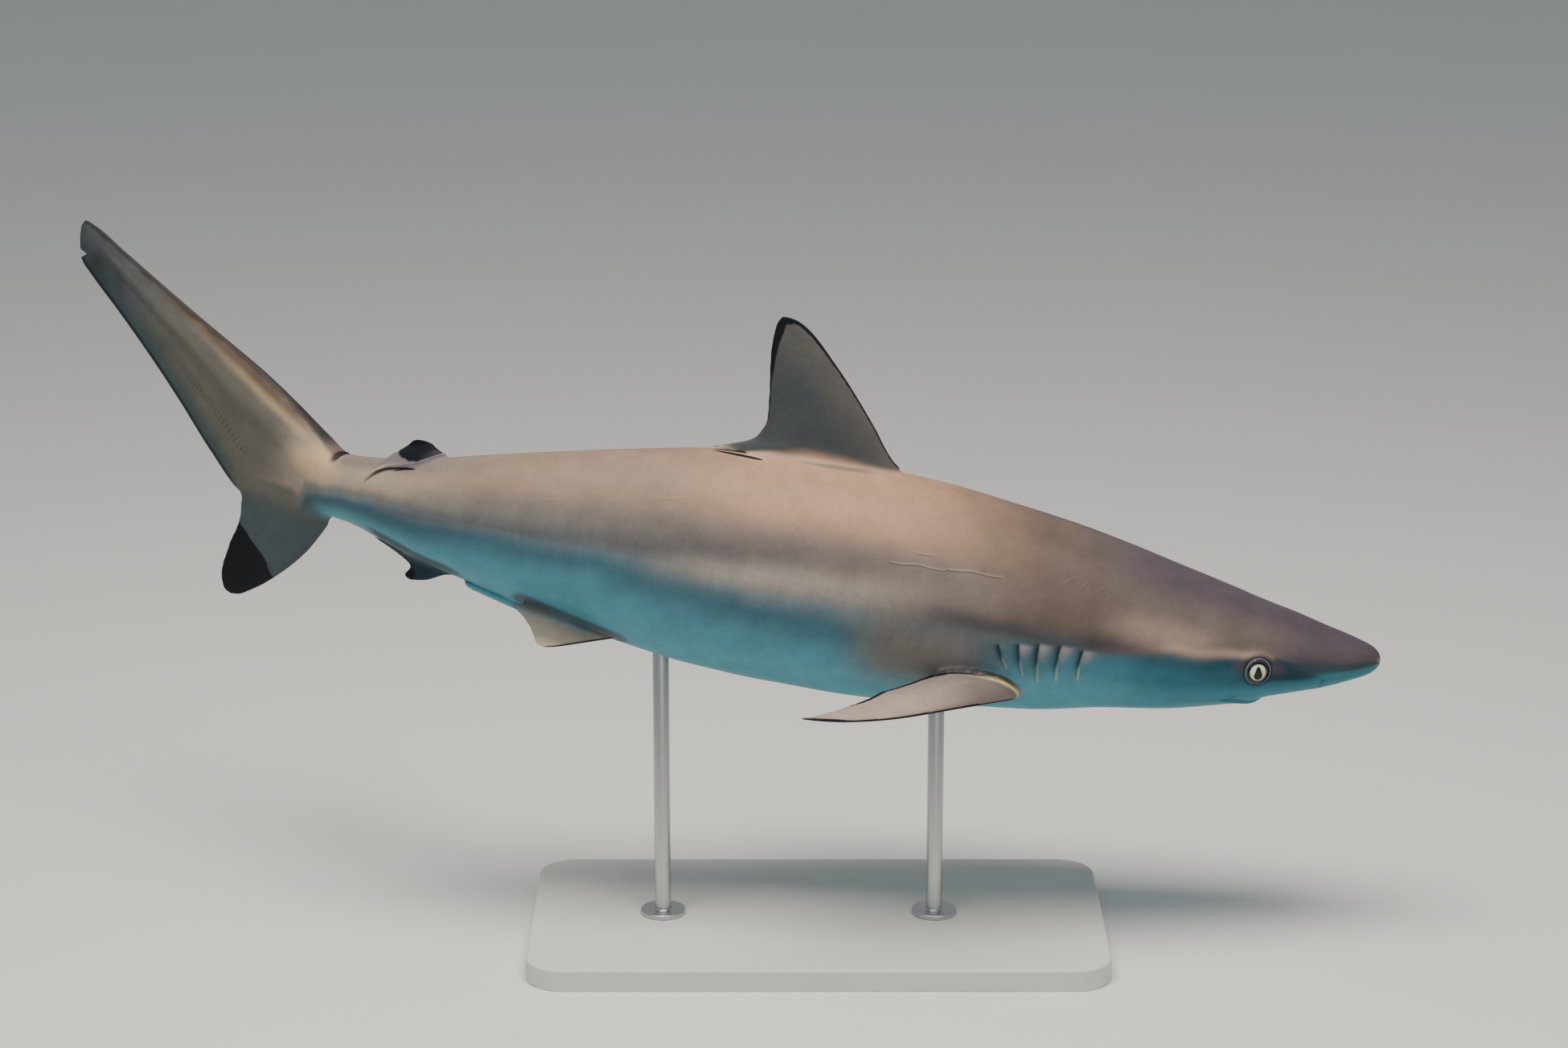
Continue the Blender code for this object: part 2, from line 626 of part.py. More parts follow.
def rod(name, station, group, material):
    x, y, top = rod_place(station)
    foot = BASE_THICKNESS + GAP
    ledge = foot + FLANGE_HEIGHT
    outline = ((0.0, top), (ROD_RADIUS - ROD_ROUNDING, top), (ROD_RADIUS, top - ROD_ROUNDING),
               (ROD_RADIUS, ledge), (FLANGE_RADIUS - ROD_ROUNDING, ledge),
               (FLANGE_RADIUS, ledge - ROD_ROUNDING), (FLANGE_RADIUS, foot), (0.0, foot))
    turned(name, outline, x, y, group, material)


def socket_cutter(station, group):
    x, y, top = rod_place(station)
    wide = ROD_RADIUS + GAP
    low = top - SOCKET_LENGTH
    outline = ((0.0, top + GAP), (wide, top + GAP), (wide, low), (0.0, low))
    return turned(f"socket cutter {station}", outline, x, y, group)


# ---- the whole model ------------------------------------------------------------------------
TAIL_NOTCH = ((0.9580, 0.0935), (0.9720, 0.0895), (0.9720, 0.0970))


def tail_notch_cutter(group):
    """The small notch under the tip of the upper tail lobe."""
    rings = [[place((s, side, h)) for s, h in TAIL_NOTCH] for side in (-0.01, 0.01)]
    return add_object("tail notch cutter", loft_mesh("tail notch cutter", rings), group)


def build():
    clear_scene()
    shark = new_collection("blacktip_shark")
    cutters = new_collection("cutters")
    back_skin = new_material("grey-brown skin", (0.155, 0.120, 0.092), 0.55)
    fin_skin = new_material("fin skin", (0.110, 0.095, 0.078), 0.55)
    black_skin = new_material("black-marked fin skin", (0.045, 0.040, 0.042), 0.5)
    eye_glass = new_material("eye", (0.60, 0.58, 0.42), 0.12)
    stand_paint = new_material("stand paint", (0.62, 0.62, 0.60), 0.5)
    rod_steel = new_material("brushed steel", (0.55, 0.55, 0.55), 0.3, 1.0)

    clearance = body_clearance(cutters)
    head = body_piece("head", shark, back_skin)
    trunk = body_piece("trunk", shark, back_skin)
    body_piece("tail", shark, back_skin)
    upper = body_piece("caudal_fin_upper", shark, fin_skin)
    cut_away(upper, tail_notch_cutter(cutters))

    for hand in (1, -1):
        side = "left" if hand > 0 else "right"
        cut_away(head, eyeball(f"eye socket cutter {side}", hand, GAP, cutters))
        eyeball(f"eye_{side}", hand, 0.0, shark, eye_glass)
        cut_away(head, nostril_cutter(hand, cutters))
        for blade in gill_cutters(hand, cutters):
            cut_away(head, blade)
        paired_fins(hand, shark, fin_skin, clearance)
        clasper(hand, shark, fin_skin, clearance)
    cut_away(head, mouth_cutter(cutters))
    median_fins(shark, fin_skin, black_skin, clearance)

    stand_base(shark, stand_paint)
    for name, station in ROD_STATIONS.items():
        rod(f"stand_rod_{name}", station, shark, rod_steel)
        cut_away(trunk, socket_cutter(station, cutters))


build()
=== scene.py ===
# %% [markdown]
# # A spot-tail shark on a display stand
#
# The spot-tail shark is one of the black-tipped sharks of the reef edge.  This is a grown male,
# 1.20 m from snout to tail tip, caught in the middle of a tail beat.  A museum would cast it in
# resin, paint it, set glass eyes in it and hold it up on two steel rods.
#
# The solid model comes first, as a fixed frame.  Everything here is laid over it in the same
# place and at the same size, in metres, with the snout towards +X and +Z up.

# %% Load the solid model
import math

import bpy
import numpy as np
from mathutils import Matrix, Vector


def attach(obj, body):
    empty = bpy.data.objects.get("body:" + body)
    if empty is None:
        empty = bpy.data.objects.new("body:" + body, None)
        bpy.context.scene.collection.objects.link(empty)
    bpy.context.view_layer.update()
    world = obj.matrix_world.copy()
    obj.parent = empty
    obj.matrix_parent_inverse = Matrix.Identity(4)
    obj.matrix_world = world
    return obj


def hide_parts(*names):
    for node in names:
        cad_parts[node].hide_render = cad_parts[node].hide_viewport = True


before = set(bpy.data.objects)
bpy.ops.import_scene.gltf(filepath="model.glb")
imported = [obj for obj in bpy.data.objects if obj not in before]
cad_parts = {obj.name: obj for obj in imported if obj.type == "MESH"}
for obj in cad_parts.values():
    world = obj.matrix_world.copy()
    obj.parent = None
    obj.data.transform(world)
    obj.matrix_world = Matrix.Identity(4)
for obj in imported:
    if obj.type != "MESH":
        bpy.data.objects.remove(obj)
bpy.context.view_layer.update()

# %% [markdown]
# ## The camera
#
# It comes first, so that every later step can be looked at from the same place.  The shark is
# seen from its right side and a little from above: a long lens stands 2.9 m away and looks
# 16 degrees down along +Y.  A long lens keeps the near pectoral fin from growing out of scale.

# %% Camera
CAMERA_DOWN = math.radians(16)
CAMERA_AIM = Vector((-0.0272, 0.0, 0.3443))
CAMERA_AWAY = 2.9009
CAMERA_LENS = 85.0         # mm, on a 36 mm wide sensor

camera_data = bpy.data.cameras.new("camera")
camera_data.lens = CAMERA_LENS
camera = bpy.data.objects.new("camera", camera_data)
bpy.context.scene.collection.objects.link(camera)
camera.location = CAMERA_AIM + CAMERA_AWAY * Vector((0, -math.cos(CAMERA_DOWN), math.sin(CAMERA_DOWN)))
camera.rotation_euler = (math.pi / 2 - CAMERA_DOWN, 0, 0)
bpy.context.scene.camera = camera
print("camera at", [round(v, 3) for v in camera.location])

# %% [markdown]
# ## The body as a table of sections
#
# A fish is measured straight: so far back from the snout, so high above its middle line.  The
# same table of cross-sections that shaped the solid is used here, with far more rings, so skin
# and solid agree.  Every length in it is a fraction of the shark's total length.  The curves
# between the rows never overshoot them, which keeps the outline free of ripples.

# %% Sizes of the body
TOTAL_LENGTH = 1.20
MM = 0.001
NOSE_DOWN = math.radians(8.87)
NOSE_HEIGHT = 0.232
MODEL_REACH = 0.445
SPINE_TURNS = ((0.00, 0), (0.48, 0), (0.55, 5), (0.61, 19), (0.67, 38),
               (0.74, 41), (0.80, 33), (0.90, 27), (1.05, 23))
# station, top, bottom, half width, widest level, upper and lower fullness
SECTIONS = np.array((
    (0.000, -0.0005, -0.0005, 0.0000, 0.45, 2.0, 2.0),
    (0.005, 0.0077, -0.0087, 0.0080, 0.45, 2.0, 2.2),
    (0.020, 0.0130, -0.0151, 0.0180, 0.42, 2.0, 2.5),
    (0.040, 0.0180, -0.0222, 0.0265, 0.40, 2.0, 2.6),
    (0.060, 0.0233, -0.0278, 0.0335, 0.40, 2.0, 2.6),
    (0.075, 0.0266, -0.0328, 0.0380, 0.42, 2.0, 2.5),
    (0.085, 0.0290, -0.0388, 0.0405, 0.45, 2.0, 2.2),
    (0.100, 0.0330, -0.0429, 0.0440, 0.46, 2.0, 2.1),
    (0.140, 0.0430, -0.0518, 0.0510, 0.46, 2.0, 2.1),
    (0.180, 0.0531, -0.0571, 0.0555, 0.46, 2.0, 2.1),
    (0.220, 0.0616, -0.0648, 0.0590, 0.47, 2.0, 2.1),
    (0.260, 0.0680, -0.0690, 0.0612, 0.48, 2.0, 2.1),
    (0.300, 0.0738, -0.0728, 0.0628, 0.48, 2.0, 2.1),
    (0.350, 0.0772, -0.0745, 0.0628, 0.49, 2.0, 2.1),
    (0.400, 0.0775, -0.0738, 0.0595, 0.50, 2.0, 2.0),
    (0.450, 0.0748, -0.0702, 0.0540, 0.50, 2.0, 2.0),
    (0.500, 0.0672, -0.0624, 0.0465, 0.50, 2.0, 2.0),
    (0.550, 0.0572, -0.0518, 0.0385, 0.50, 2.0, 2.0),
    (0.600, 0.0450, -0.0415, 0.0305, 0.50, 2.0, 2.0),
    (0.650, 0.0305, -0.0348, 0.0235, 0.50, 2.0, 2.0),
    (0.700, 0.0172, -0.0298, 0.0185, 0.50, 2.0, 2.0),
    (0.720, 0.0140, -0.0312, 0.0168, 0.50, 2.0, 2.0),
    (0.740, 0.0215, -0.0345, 0.0140, 0.55, 1.9, 1.8),
    (0.770, 0.0345, -0.0385, 0.0112, 0.62, 1.8, 1.4),
    (0.800, 0.0475, -0.0425, 0.0090, 0.68, 1.7, 1.1),
    (0.810, 0.0515, -0.0400, 0.0084, 0.68, 1.7, 1.0),
    (0.840, 0.0630, -0.0182, 0.0068, 0.68, 1.7, 1.0),
    (0.870, 0.0752, 0.0090, 0.0056, 0.68, 1.7, 1.0),
    (0.900, 0.0885, 0.0352, 0.0046, 0.66, 1.7, 1.0),
    (0.930, 0.1023, 0.0600, 0.0036, 0.64, 1.7, 1.1),
    (0.955, 0.1140, 0.0800, 0.0028, 0.62, 1.8, 1.3),
    (0.964, 0.1162, 0.0890, 0.0022, 0.60, 2.0, 2.0),
    (0.9668, 0.1125, 0.1010, 0.0010, 0.50, 2.0, 2.0),
))
EDGE = 0.0006


def smooth_curve(knots, values, where):
    """A smooth curve through (knots, values) that never overshoots them."""
    knots, values = np.asarray(knots, float), np.asarray(values, float)
    where = np.clip(np.asarray(where, float), knots[0], knots[-1])
    steps = np.diff(knots)
    slopes = np.diff(values) / steps
    tangents = np.concatenate([slopes[:1], np.zeros(len(values) - 2), slopes[-1:]])
    before, after = slopes[:-1], slopes[1:]
    rising = before * after > 0
    tangents[1:-1][rising] = (2 * before * after)[rising] / (before + after)[rising]
    i = np.clip(np.searchsorted(knots, where, side="right") - 1, 0, len(steps) - 1)
    t = (where - knots[i]) / steps[i]
    return ((1 + 2 * t) * (1 - t) ** 2 * values[i] + t * (1 - t) ** 2 * steps[i] * tangents[i]
            + t * t * (3 - 2 * t) * values[i + 1] + t * t * (t - 1) * steps[i] * tangents[i + 1])


class Section:
    """The body's cross-sections at an array of stations."""

    def __init__(self, stations):
        where = np.sqrt(np.clip(stations, 0.0, None))
        knots = np.sqrt(SECTIONS[:, 0])
        columns = [smooth_curve(knots, SECTIONS[:, k], where) for k in range(1, 7)]
        self.top, self.bottom, self.half, widest, self.upper, self.lower = columns
        self.level = self.bottom + widest * (self.top - self.bottom)


def spine_table(step=0.0005):
    stations = np.arange(0.0, 1.05 + step, step)
    turns = np.array(SPINE_TURNS, float)
    turn = np.radians(smooth_curve(turns[:, 0], turns[:, 1], stations))
    middle = (turn[1:] + turn[:-1]) / 2
    back = np.concatenate([[0.0], np.cumsum(np.cos(middle) * step)])
    left = np.concatenate([[0.0], np.cumsum(np.sin(middle) * step)])
    return stations, back, left, turn


SPINE = spine_table()


def place(straight):
    """World positions of straight points (back, side, height), all in metres."""
    stations, back, left, turn = SPINE
    station = straight[..., 0] / TOTAL_LENGTH
    side, height = straight[..., 1], straight[..., 2]
    angle = np.interp(station, stations, turn)
    x = -np.interp(station, stations, back) * TOTAL_LENGTH + side * np.sin(angle)
    y = np.interp(station, stations, left) * TOTAL_LENGTH + side * np.cos(angle)
    forward = x * math.cos(NOSE_DOWN) + height * math.sin(NOSE_DOWN)
    up = -x * math.sin(NOSE_DOWN) + height * math.cos(NOSE_DOWN)
    return np.stack([forward + MODEL_REACH, y, up + NOSE_HEIGHT], -1)


print("tail tip at", place(np.array([0.9668, 0, 0.11]) * TOTAL_LENGTH).round(3))

# %% [markdown]
# ## A fine grid over the body
#
# The skin starts as one grid of rings, like a stocking pulled over the sections.  Rings stand
# 0.6 mm apart where the eye, mouth and gills need them and 1.2 to 1.4 mm on the plain flank.
# Sculpting is then a matter of lifting the grid's points along their normals by a fraction of a
# millimetre.  A subdivision cage would need its loops routed round every slit; here each
# feature is a short formula in the shark's own measures, and both sides get it alike.

# %% The grid
# station, and how far apart the rings stand there in mm
RING_SPACING = ((0.0004, 0.4), (0.010, 0.8), (0.030, 0.7), (0.060, 0.6), (0.110, 0.6), (0.150, 1.0),
                (0.190, 0.7), (0.262, 0.65), (0.290, 1.2), (0.700, 1.4), (0.715, 0.8),
                (0.760, 1.2), (0.940, 1.2), (0.9667, 0.5))
COARSEN = 1.0
AROUND = int(300 / COARSEN)


def spaced(fine, density, count=None):
    """So many values along fine, or one for each unit of the density, closer where that is high."""
    rank = np.concatenate([[0.0], np.cumsum((density[1:] + density[:-1]) / 2 * np.diff(fine))])
    return np.interp(np.linspace(0.0, rank[-1], count or int(rank[-1])), rank, fine)


def ring_stations():
    places, spacing = np.array(RING_SPACING).T
    fine = np.linspace(places[0], places[-1], 20001)
    return spaced(fine, TOTAL_LENGTH / MM / (np.interp(fine, places, spacing) * COARSEN))


def ring_angles():
    """Angles round the body, closer together from below the eye to above the gills."""
    fine = np.linspace(0.0, 2 * math.pi, 7201)
    from_flank = np.degrees(np.arccos(np.abs(np.cos(fine)))) * np.sign(np.sin(fine))
    density = 1.0 + 1.2 * np.exp(-((from_flank + 12) / 28) ** 2)
    return spaced(fine, density, AROUND + 1)[:-1]


def body_grid():
    """Points of the plain body, rings by angles, straight and in metres."""
    stations, angles = ring_stations()[:, None], ring_angles()[None, :]
    here = Section(stations)
    across, up = np.cos(angles), np.sin(angles)
    fullness = np.where(up >= 0, here.upper, here.lower)
    reach = np.where(up >= 0, here.top - here.level, here.level - here.bottom)
    side = np.maximum(0.0, here.half - EDGE) * np.abs(across) ** (2 / fullness)
    side = side + np.minimum(EDGE, here.half) * np.abs(across) ** 0.5
    height = here.level + np.sign(up) * reach * np.abs(up) ** (2 / fullness)
    return np.stack([stations + 0 * angles, np.sign(across) * side, height], -1) * TOTAL_LENGTH


def grid_normals(points):
    along = np.gradient(points, axis=0)
    round_it = np.roll(points, -1, 1) - np.roll(points, 1, 1)
    normals = np.cross(along, round_it)
    normals /= np.linalg.norm(normals, axis=-1, keepdims=True) + 1e-12
    outwards = points - points.mean(1, keepdims=True)
    return normals * np.sign((normals * outwards).sum(-1, keepdims=True))


skin_points = body_grid()
skin_normals = grid_normals(skin_points)
print("body grid:", skin_points.shape[0], "rings of", skin_points.shape[1])

# %% [markdown]
# ## Sculpting the head
#
# On the real animal the gill slits are five flaps of skin that overlap like roof tiles: each
# ends in a thin free edge with a dark gap behind it.  The mouth is an arch under the snout, the
# nostril a slanting slit with a small lobe in front, and the eye sits in a low rim of loose
# skin.  All of these are written as heights in millimetres over the plain surface, from the
# distance to a line, and then added to the grid.  A cut with a cutter object would give hard
# edges, which skin never has.

# %% Helpers for sculpting
def bump(distance, width):
    """1 at no distance, falling away smoothly over the width."""
    return np.exp(-(distance / width) ** 2)


def ramp(value, start, end):
    """0 before start, 1 after end, and smooth between."""
    t = np.clip((value - start) / (end - start), 0.0, 1.0)
    return t * t * (3 - 2 * t)


def window(value, start, full, fading, end):
    """0 before start, 1 between full and fading, and 0 again after end."""
    return ramp(value, start, full) * (1 - ramp(value, fading, end))


def in_mm(share):
    """Millimetres of a length that is given as a share of the shark's total length."""
    return share * TOTAL_LENGTH / MM


def flank_point(station, height, hand):
    """The straight point in metres on the flank at this height, hand being 1 left, -1 right."""
    here = Section(np.array([station]))
    above = height > here.level
    fullness = np.where(above, here.upper, here.lower)
    reach = np.where(above, here.top - here.level, here.level - here.bottom)
    share = (1 - np.minimum(1.0, np.abs(height - here.level) / reach) ** fullness) ** (1 / fullness)
    return np.array([station, hand * (here.half * share)[0], height]) * TOTAL_LENGTH


def belly_point(station, side):
    here = Section(np.array([station]))
    share = (1 - np.minimum(1.0, np.abs(side) / here.half) ** here.lower) ** (1 / here.lower)
    return np.array([station, side, (here.level - (here.level - here.bottom) * share)[0]]) * TOTAL_LENGTH


def near_path(points, path):
    """Distance in millimetres to a path of points, and the share of the path passed there."""
    best = np.full(points.shape[:-1], 1e9)
    share = np.zeros(points.shape[:-1])
    for k, (a, b) in enumerate(zip(path[:-1], path[1:])):
        leg = b - a
        t = np.clip(((points - a) @ leg) / (leg @ leg), 0.0, 1.0)
        away = np.linalg.norm(points - a - t[..., None] * leg, axis=-1) / MM
        nearer = away < best
        best = np.where(nearer, away, best)
        share = np.where(nearer, (k + t) / (len(path) - 1), share)
    return best, share


# %% Gills, mouth, nostrils and the rim of the eye
GILL_SLITS = (             # station and height of the upper end, then of the lower end
    (0.2024, -0.0064, 0.2029, -0.0267),
    (0.2174, -0.0052, 0.2167, -0.0296),
    (0.2315, -0.0059, 0.2286, -0.0312),
    (0.2444, -0.0076, 0.2388, -0.0284),
    (0.2572, -0.0098, 0.2499, -0.0250),
)
SLIT_BOW = 0.0008
GILL_SIDE = 0.02           # the slits lie further out from the middle plane than this
LAST_SLIT = 0.25           # the slit behind this station has no pale flap
MOUTH_FRONT = 0.0715
MOUTH_CORNER = 0.1050
MOUTH_HALF_WIDTH = 0.0340
NOSTRIL_OUTER = (0.0395, 0.0255)
NOSTRIL_INNER = (0.0475, 0.0185)
EYE_STATION = 0.0858
EYE_HEIGHT = -0.0079
HANDS = {"left": 1, "right": -1}


def slit_measures(slit, station, height):
    """How far down the gill slit each point is, from 0 to 1, and how many mm behind it."""
    top_station, top, low_station, low = slit
    t = (top - height) / (top - low)
    line = top_station + t * (low_station - top_station) + SLIT_BOW * np.sin(math.pi * np.clip(t, 0, 1))
    return t, in_mm(station - line)


def gill_lift(station, side, height):
    lift = np.zeros_like(station)
    for slit in GILL_SLITS:
        t, behind = slit_measures(slit, station, height)
        length = window(t, -0.10, 0.15, 0.85, 1.12) * (np.abs(side) > GILL_SIDE)
        gap = 0.5 * (1 + np.tanh(behind / 0.4))
        flap = 1.1 * np.exp(np.minimum(behind, 0) / 4.5)
        hollow = 2.1 * np.exp(-np.maximum(behind, 0) / 2.2)
        lift += length * ((1 - gap) * flap - gap * hollow)
    chamber = bump((station - 0.232) * 1000, 34) * bump((height + 0.018) * 1000, 14)
    return lift + 0.8 * chamber


def mouth_lift(station, side, height, points):
    below = ramp(-height, 0.012, 0.022)
    width = np.abs(side) / MOUTH_HALF_WIDTH
    line = MOUTH_FRONT + (MOUTH_CORNER - MOUTH_FRONT) * np.minimum(width, 1.0) ** 2.3
    behind = in_mm(station - line)
    inside = below * (1 - ramp(width, 0.94, 1.06))
    jaw = 0.5 * (1 + np.tanh(behind / 0.6))
    lower = 3.6 * np.exp(-np.maximum(behind, 0) / 7) * (1 - 0.7 * width)
    upper = -1.9 * np.exp(np.minimum(behind, 0) / 6)
    lift = inside * (jaw * lower + (1 - jaw) * upper - 2.4 * bump(behind + 0.6, 1.0))
    for hand in HANDS.values():
        corner = belly_point(MOUTH_CORNER - 0.001, hand * (MOUTH_HALF_WIDTH - 0.0005))
        furrow = belly_point(MOUTH_CORNER - 0.0085, hand * (MOUTH_HALF_WIDTH + 0.0022))
        away, _ = near_path(points, [corner, furrow])
        lift -= 0.9 * bump(away, 0.8)
        lift += 0.5 * bump(away - 2.2, 1.4)
    return lift


def nostril_lift(points):
    lift = np.zeros(points.shape[:-1])
    for hand in HANDS.values():
        outer = belly_point(NOSTRIL_OUTER[0], hand * NOSTRIL_OUTER[1])
        inner = belly_point(NOSTRIL_INNER[0], hand * NOSTRIL_INNER[1])
        away, share = near_path(points, [outer, inner])
        lobe = (outer + inner) / 2 + np.array([-3.0 * MM, 0, 0])
        near_lobe = np.linalg.norm(points - lobe, axis=-1) / MM
        lift += 0.7 * bump(near_lobe, 3.0) - 2.6 * bump(away, 1.25) * (1 - 0.4 * share)
    return lift


def eye_lift(points):
    lift = np.zeros(points.shape[:-1])
    for hand in HANDS.values():
        centre = flank_point(EYE_STATION, EYE_HEIGHT, hand)
        away = np.linalg.norm(points - centre, axis=-1) / MM
        above = ramp((points[..., 2] - centre[2]) / MM, -4, 8)
        lift += 0.80 * bump(away - 9.8, 1.1)
        lift -= 0.70 * bump(away - 11.7, 0.8) * (0.7 + 0.3 * above)
        lift += (0.3 + 0.9 * above) * bump(away - 15.5, 3.6)
    return lift


# %% [markdown]
# ## Sculpting the rest of the body
#
# Behind the head the forms are softer.  A low ridge runs along the back between the two dorsal
# fins.  A crescent pit crosses the tail stem just in front of the tail fin.  The backbone
# shows as a ridge up the long upper lobe, with the ends of the muscle blocks as a row of small
# ticks beside it.  Real skin is never one clean surface, so a slow wave of a tenth of a
# millimetre or two is laid over the whole trunk as well.

# %% Ridges, pits and folds
FOLD_STATION = 0.431       # a fold of skin below the first dorsal fin's free tip
PIT_STATION = 0.7195       # the crescent pit
TICK_PATH = ((0.8015, -0.0155), (0.8329, 0.0094), (0.8590, 0.0266), (0.8766, 0.0410))  # station, height
TICK_RELIEF_MM = 4.6       # from one raised tick to the next
TICK_PAINT_MM = 3.6        # from one dark tick to the next


def tick_row():
    """The row of ticks in the middle plane of the tail, in metres, and its length in mm."""
    row = [np.array([s, 0.0, h]) * TOTAL_LENGTH for s, h in TICK_PATH]
    return row, sum(np.linalg.norm(b - a) for a, b in zip(row[:-1], row[1:])) / MM


def tail_lift(station, height, here):
    share = (height - here.bottom) / (here.top - here.bottom)
    back_mm = in_mm(station - PIT_STATION)
    lift = -1.5 * bump(back_mm + 0.6, 1.5) * ramp(share, 0.80, 0.97)
    lift += 0.5 * bump(back_mm - 3.0, 2.0) * ramp(share, 0.80, 0.97)
    lift -= 0.9 * bump(back_mm + 1.5, 2.2) * ramp(share, 0.14, 0.03)
    on_fin = window(station, 0.745, 0.79, 0.93, 0.96)
    lift += 0.55 * on_fin * bump(share - 0.72, 0.07)
    lift -= 0.35 * on_fin * bump(share - 0.56, 0.06)
    row, length = tick_row()
    flat = np.stack([station, 0 * station, height], -1) * TOTAL_LENGTH
    away, passed = near_path(flat, row)
    ticks = 0.5 + 0.5 * np.cos(2 * math.pi * passed * length / TICK_RELIEF_MM)
    lift -= 0.22 * ticks * bump(away, 2.4) * (station > 0.78)
    return lift


def trunk_lift(station, side, height, here):
    reach = np.maximum(here.top - here.level, 1e-4)
    crown = ramp((height - here.level) / reach, 0.985, 1.0)
    lift = 0.55 * crown * window(station, 0.475, 0.50, 0.60, 0.63)
    fold = in_mm(station - FOLD_STATION) + 0.06 * in_mm(here.top - height)
    high = window(height, 0.040, 0.056, 0.071, 0.0745)
    lift -= 0.30 * high * bump(fold, 2.2)
    lift += 0.20 * high * bump(fold - 5.0, 3.5)
    lateral = in_mm(height - here.level - 0.10 * reach)
    lift -= 0.10 * bump(lateral, 1.3) * window(station, 0.12, 0.20, 0.66, 0.70)
    slow = np.sin(station * 95 + 3 * np.sin(height * 60)) * np.sin(height * 90 + 1.3 + station * 20)
    return lift + 0.10 * slow * np.sign(side) * window(station, 0.10, 0.2, 0.7, 0.76)


def sculpted(points, normals):
    station, side, height = np.moveaxis(points, -1, 0) / TOTAL_LENGTH
    here = Section(station)
    lift = gill_lift(station, side, height)
    lift += mouth_lift(station, side, height, points)
    lift += nostril_lift(points)
    lift += eye_lift(points)
    lift += tail_lift(station, height, here)
    lift += trunk_lift(station, side, height, here)
    print(f"sculpting lifts the skin by {lift.min():.2f} to {lift.max():.2f} mm")
    return points + normals * (lift * MM)[..., None]


skin_points = sculpted(skin_points, skin_normals)

# %% [markdown]
# ## Fins as ribs
#
# A shark's fin is a stiff blade on rods of cartilage, thick and round at the front edge and thin
# at the rear.  Each is built from ribs that run from its front edge to its rear edge, stacked
# from root to tip.  The first ribs dip into the body so that the union has something to bite on,
# but behind the insertion they stay out, which leaves the free rear tip that sharks have.  The
# second dorsal fin's long rear tip is laid over the right flank, as the swing of the tail
# leaves it.

# %% Fin outlines
class FinPlane:
    """Where a flat fin stands, and how its own measures turn into straight ones and back."""

    def __init__(self, root=(0.0, 0.0, 0.0), hand=0, droop=0.0, rise=0.0):
        slope = math.radians(droop)
        self.root = np.array(root, float)
        self.out = np.array([0.0, hand * math.cos(slope), -math.sin(slope)])
        self.flat = np.array([0.0, hand * math.sin(slope), math.cos(slope)])
        if hand == 0:
            self.out = np.array([0.0, 0.0, 1.0])
            self.flat = np.array([0.0, 1.0, 0.0])
        self.chord = np.array([1.0, 0.0, math.tan(math.radians(rise))])

    def points(self, back, out, thick):
        return (self.root + back[..., None] * self.chord + out[..., None] * self.out
                + thick[..., None] * self.flat)

    def measures(self, points):
        """How far back, out and off its middle sheet each straight point is."""
        rest = points - self.root
        back = rest[..., 0]
        rest = rest - back[..., None] * self.chord
        return back, rest @ self.out, rest @ self.flat


# each fin's front edge and rear edge from root to tip, as (back, out) in the fin's own plane
PECTORAL_EDGES = (
    ((-0.006, -0.003), (0.040, 0.029), (0.092, 0.065), (0.123, 0.0790), (0.142, 0.0838)),
    ((0.094, 0.030), (0.100, 0.039), (0.118, 0.060), (0.134, 0.0755), (0.1455, 0.0838)))
PELVIC_EDGES = (
    ((0.000, 0.000), (0.020, 0.013), (0.038, 0.0250), (0.0455, 0.0292)),
    ((0.072, 0.0045), (0.064, 0.0095), (0.056, 0.0180), (0.0505, 0.0285)))
FIRST_DORSAL_EDGES = (
    ((0.324, 0.0752), (0.3300, 0.0784), (0.3382, 0.0834), (0.3462, 0.0925), (0.3545, 0.1042),
     (0.3872, 0.1430), (0.4110, 0.1652), (0.4225, 0.1700)),
    ((0.4575, 0.0768), (0.4451, 0.0805), (0.4303, 0.0871), (0.4248, 0.1006), (0.4279, 0.1326),
     (0.4293, 0.1485), (0.4282, 0.1670)))
SECOND_DORSAL_EDGES = (
    ((0.628, 0.0370), (0.638, 0.0412), (0.648, 0.0428), (0.6545, 0.0422)),
    ((0.681, 0.0240), (0.6735, 0.0272), (0.6675, 0.0315), (0.6620, 0.0370), (0.6585, 0.0408)))
ANAL_EDGES = (
    ((0.607, -0.0392), (0.619, -0.0418), (0.634, -0.0495), (0.647, -0.0530)),
    ((0.682, -0.0335), (0.666, -0.0366), (0.652, -0.0398), (0.6475, -0.0440), (0.6520, -0.0510)))
TAIL_LOWER_EDGES = (
    ((0.722, -0.0320), (0.7443, -0.0640), (0.7785, -0.0965), (0.802, -0.1130)),
    ((0.8090, -0.0420), (0.8078, -0.0560), (0.8145, -0.0800), (0.8182, -0.1000), (0.8140, -0.1130)))
FLOP_STATIONS = (0.630, 0.646, 0.666, 0.674, 0.681)
FLOP_ANGLES = (0, 24, 35, 48, 67)        # degrees from upright, for the rear tip's lower margin


def flop_over_flank(points):
    """The free rear tip leans over the right flank; the blade above it stays upright."""
    station, side, height = np.moveaxis(points, -1, 0)
    here = Section(station)
    out = (height - here.level) / (here.top - here.level)
    angle = np.radians(smooth_curve(FLOP_STATIONS, FLOP_ANGLES, station)) * (1 - ramp(out, 1.03, 1.31))
    return np.stack([station, side * np.cos(angle) - here.half * out * np.sin(angle),
                     here.level + (height - here.level) * np.cos(angle) + side * np.sin(angle)], -1)


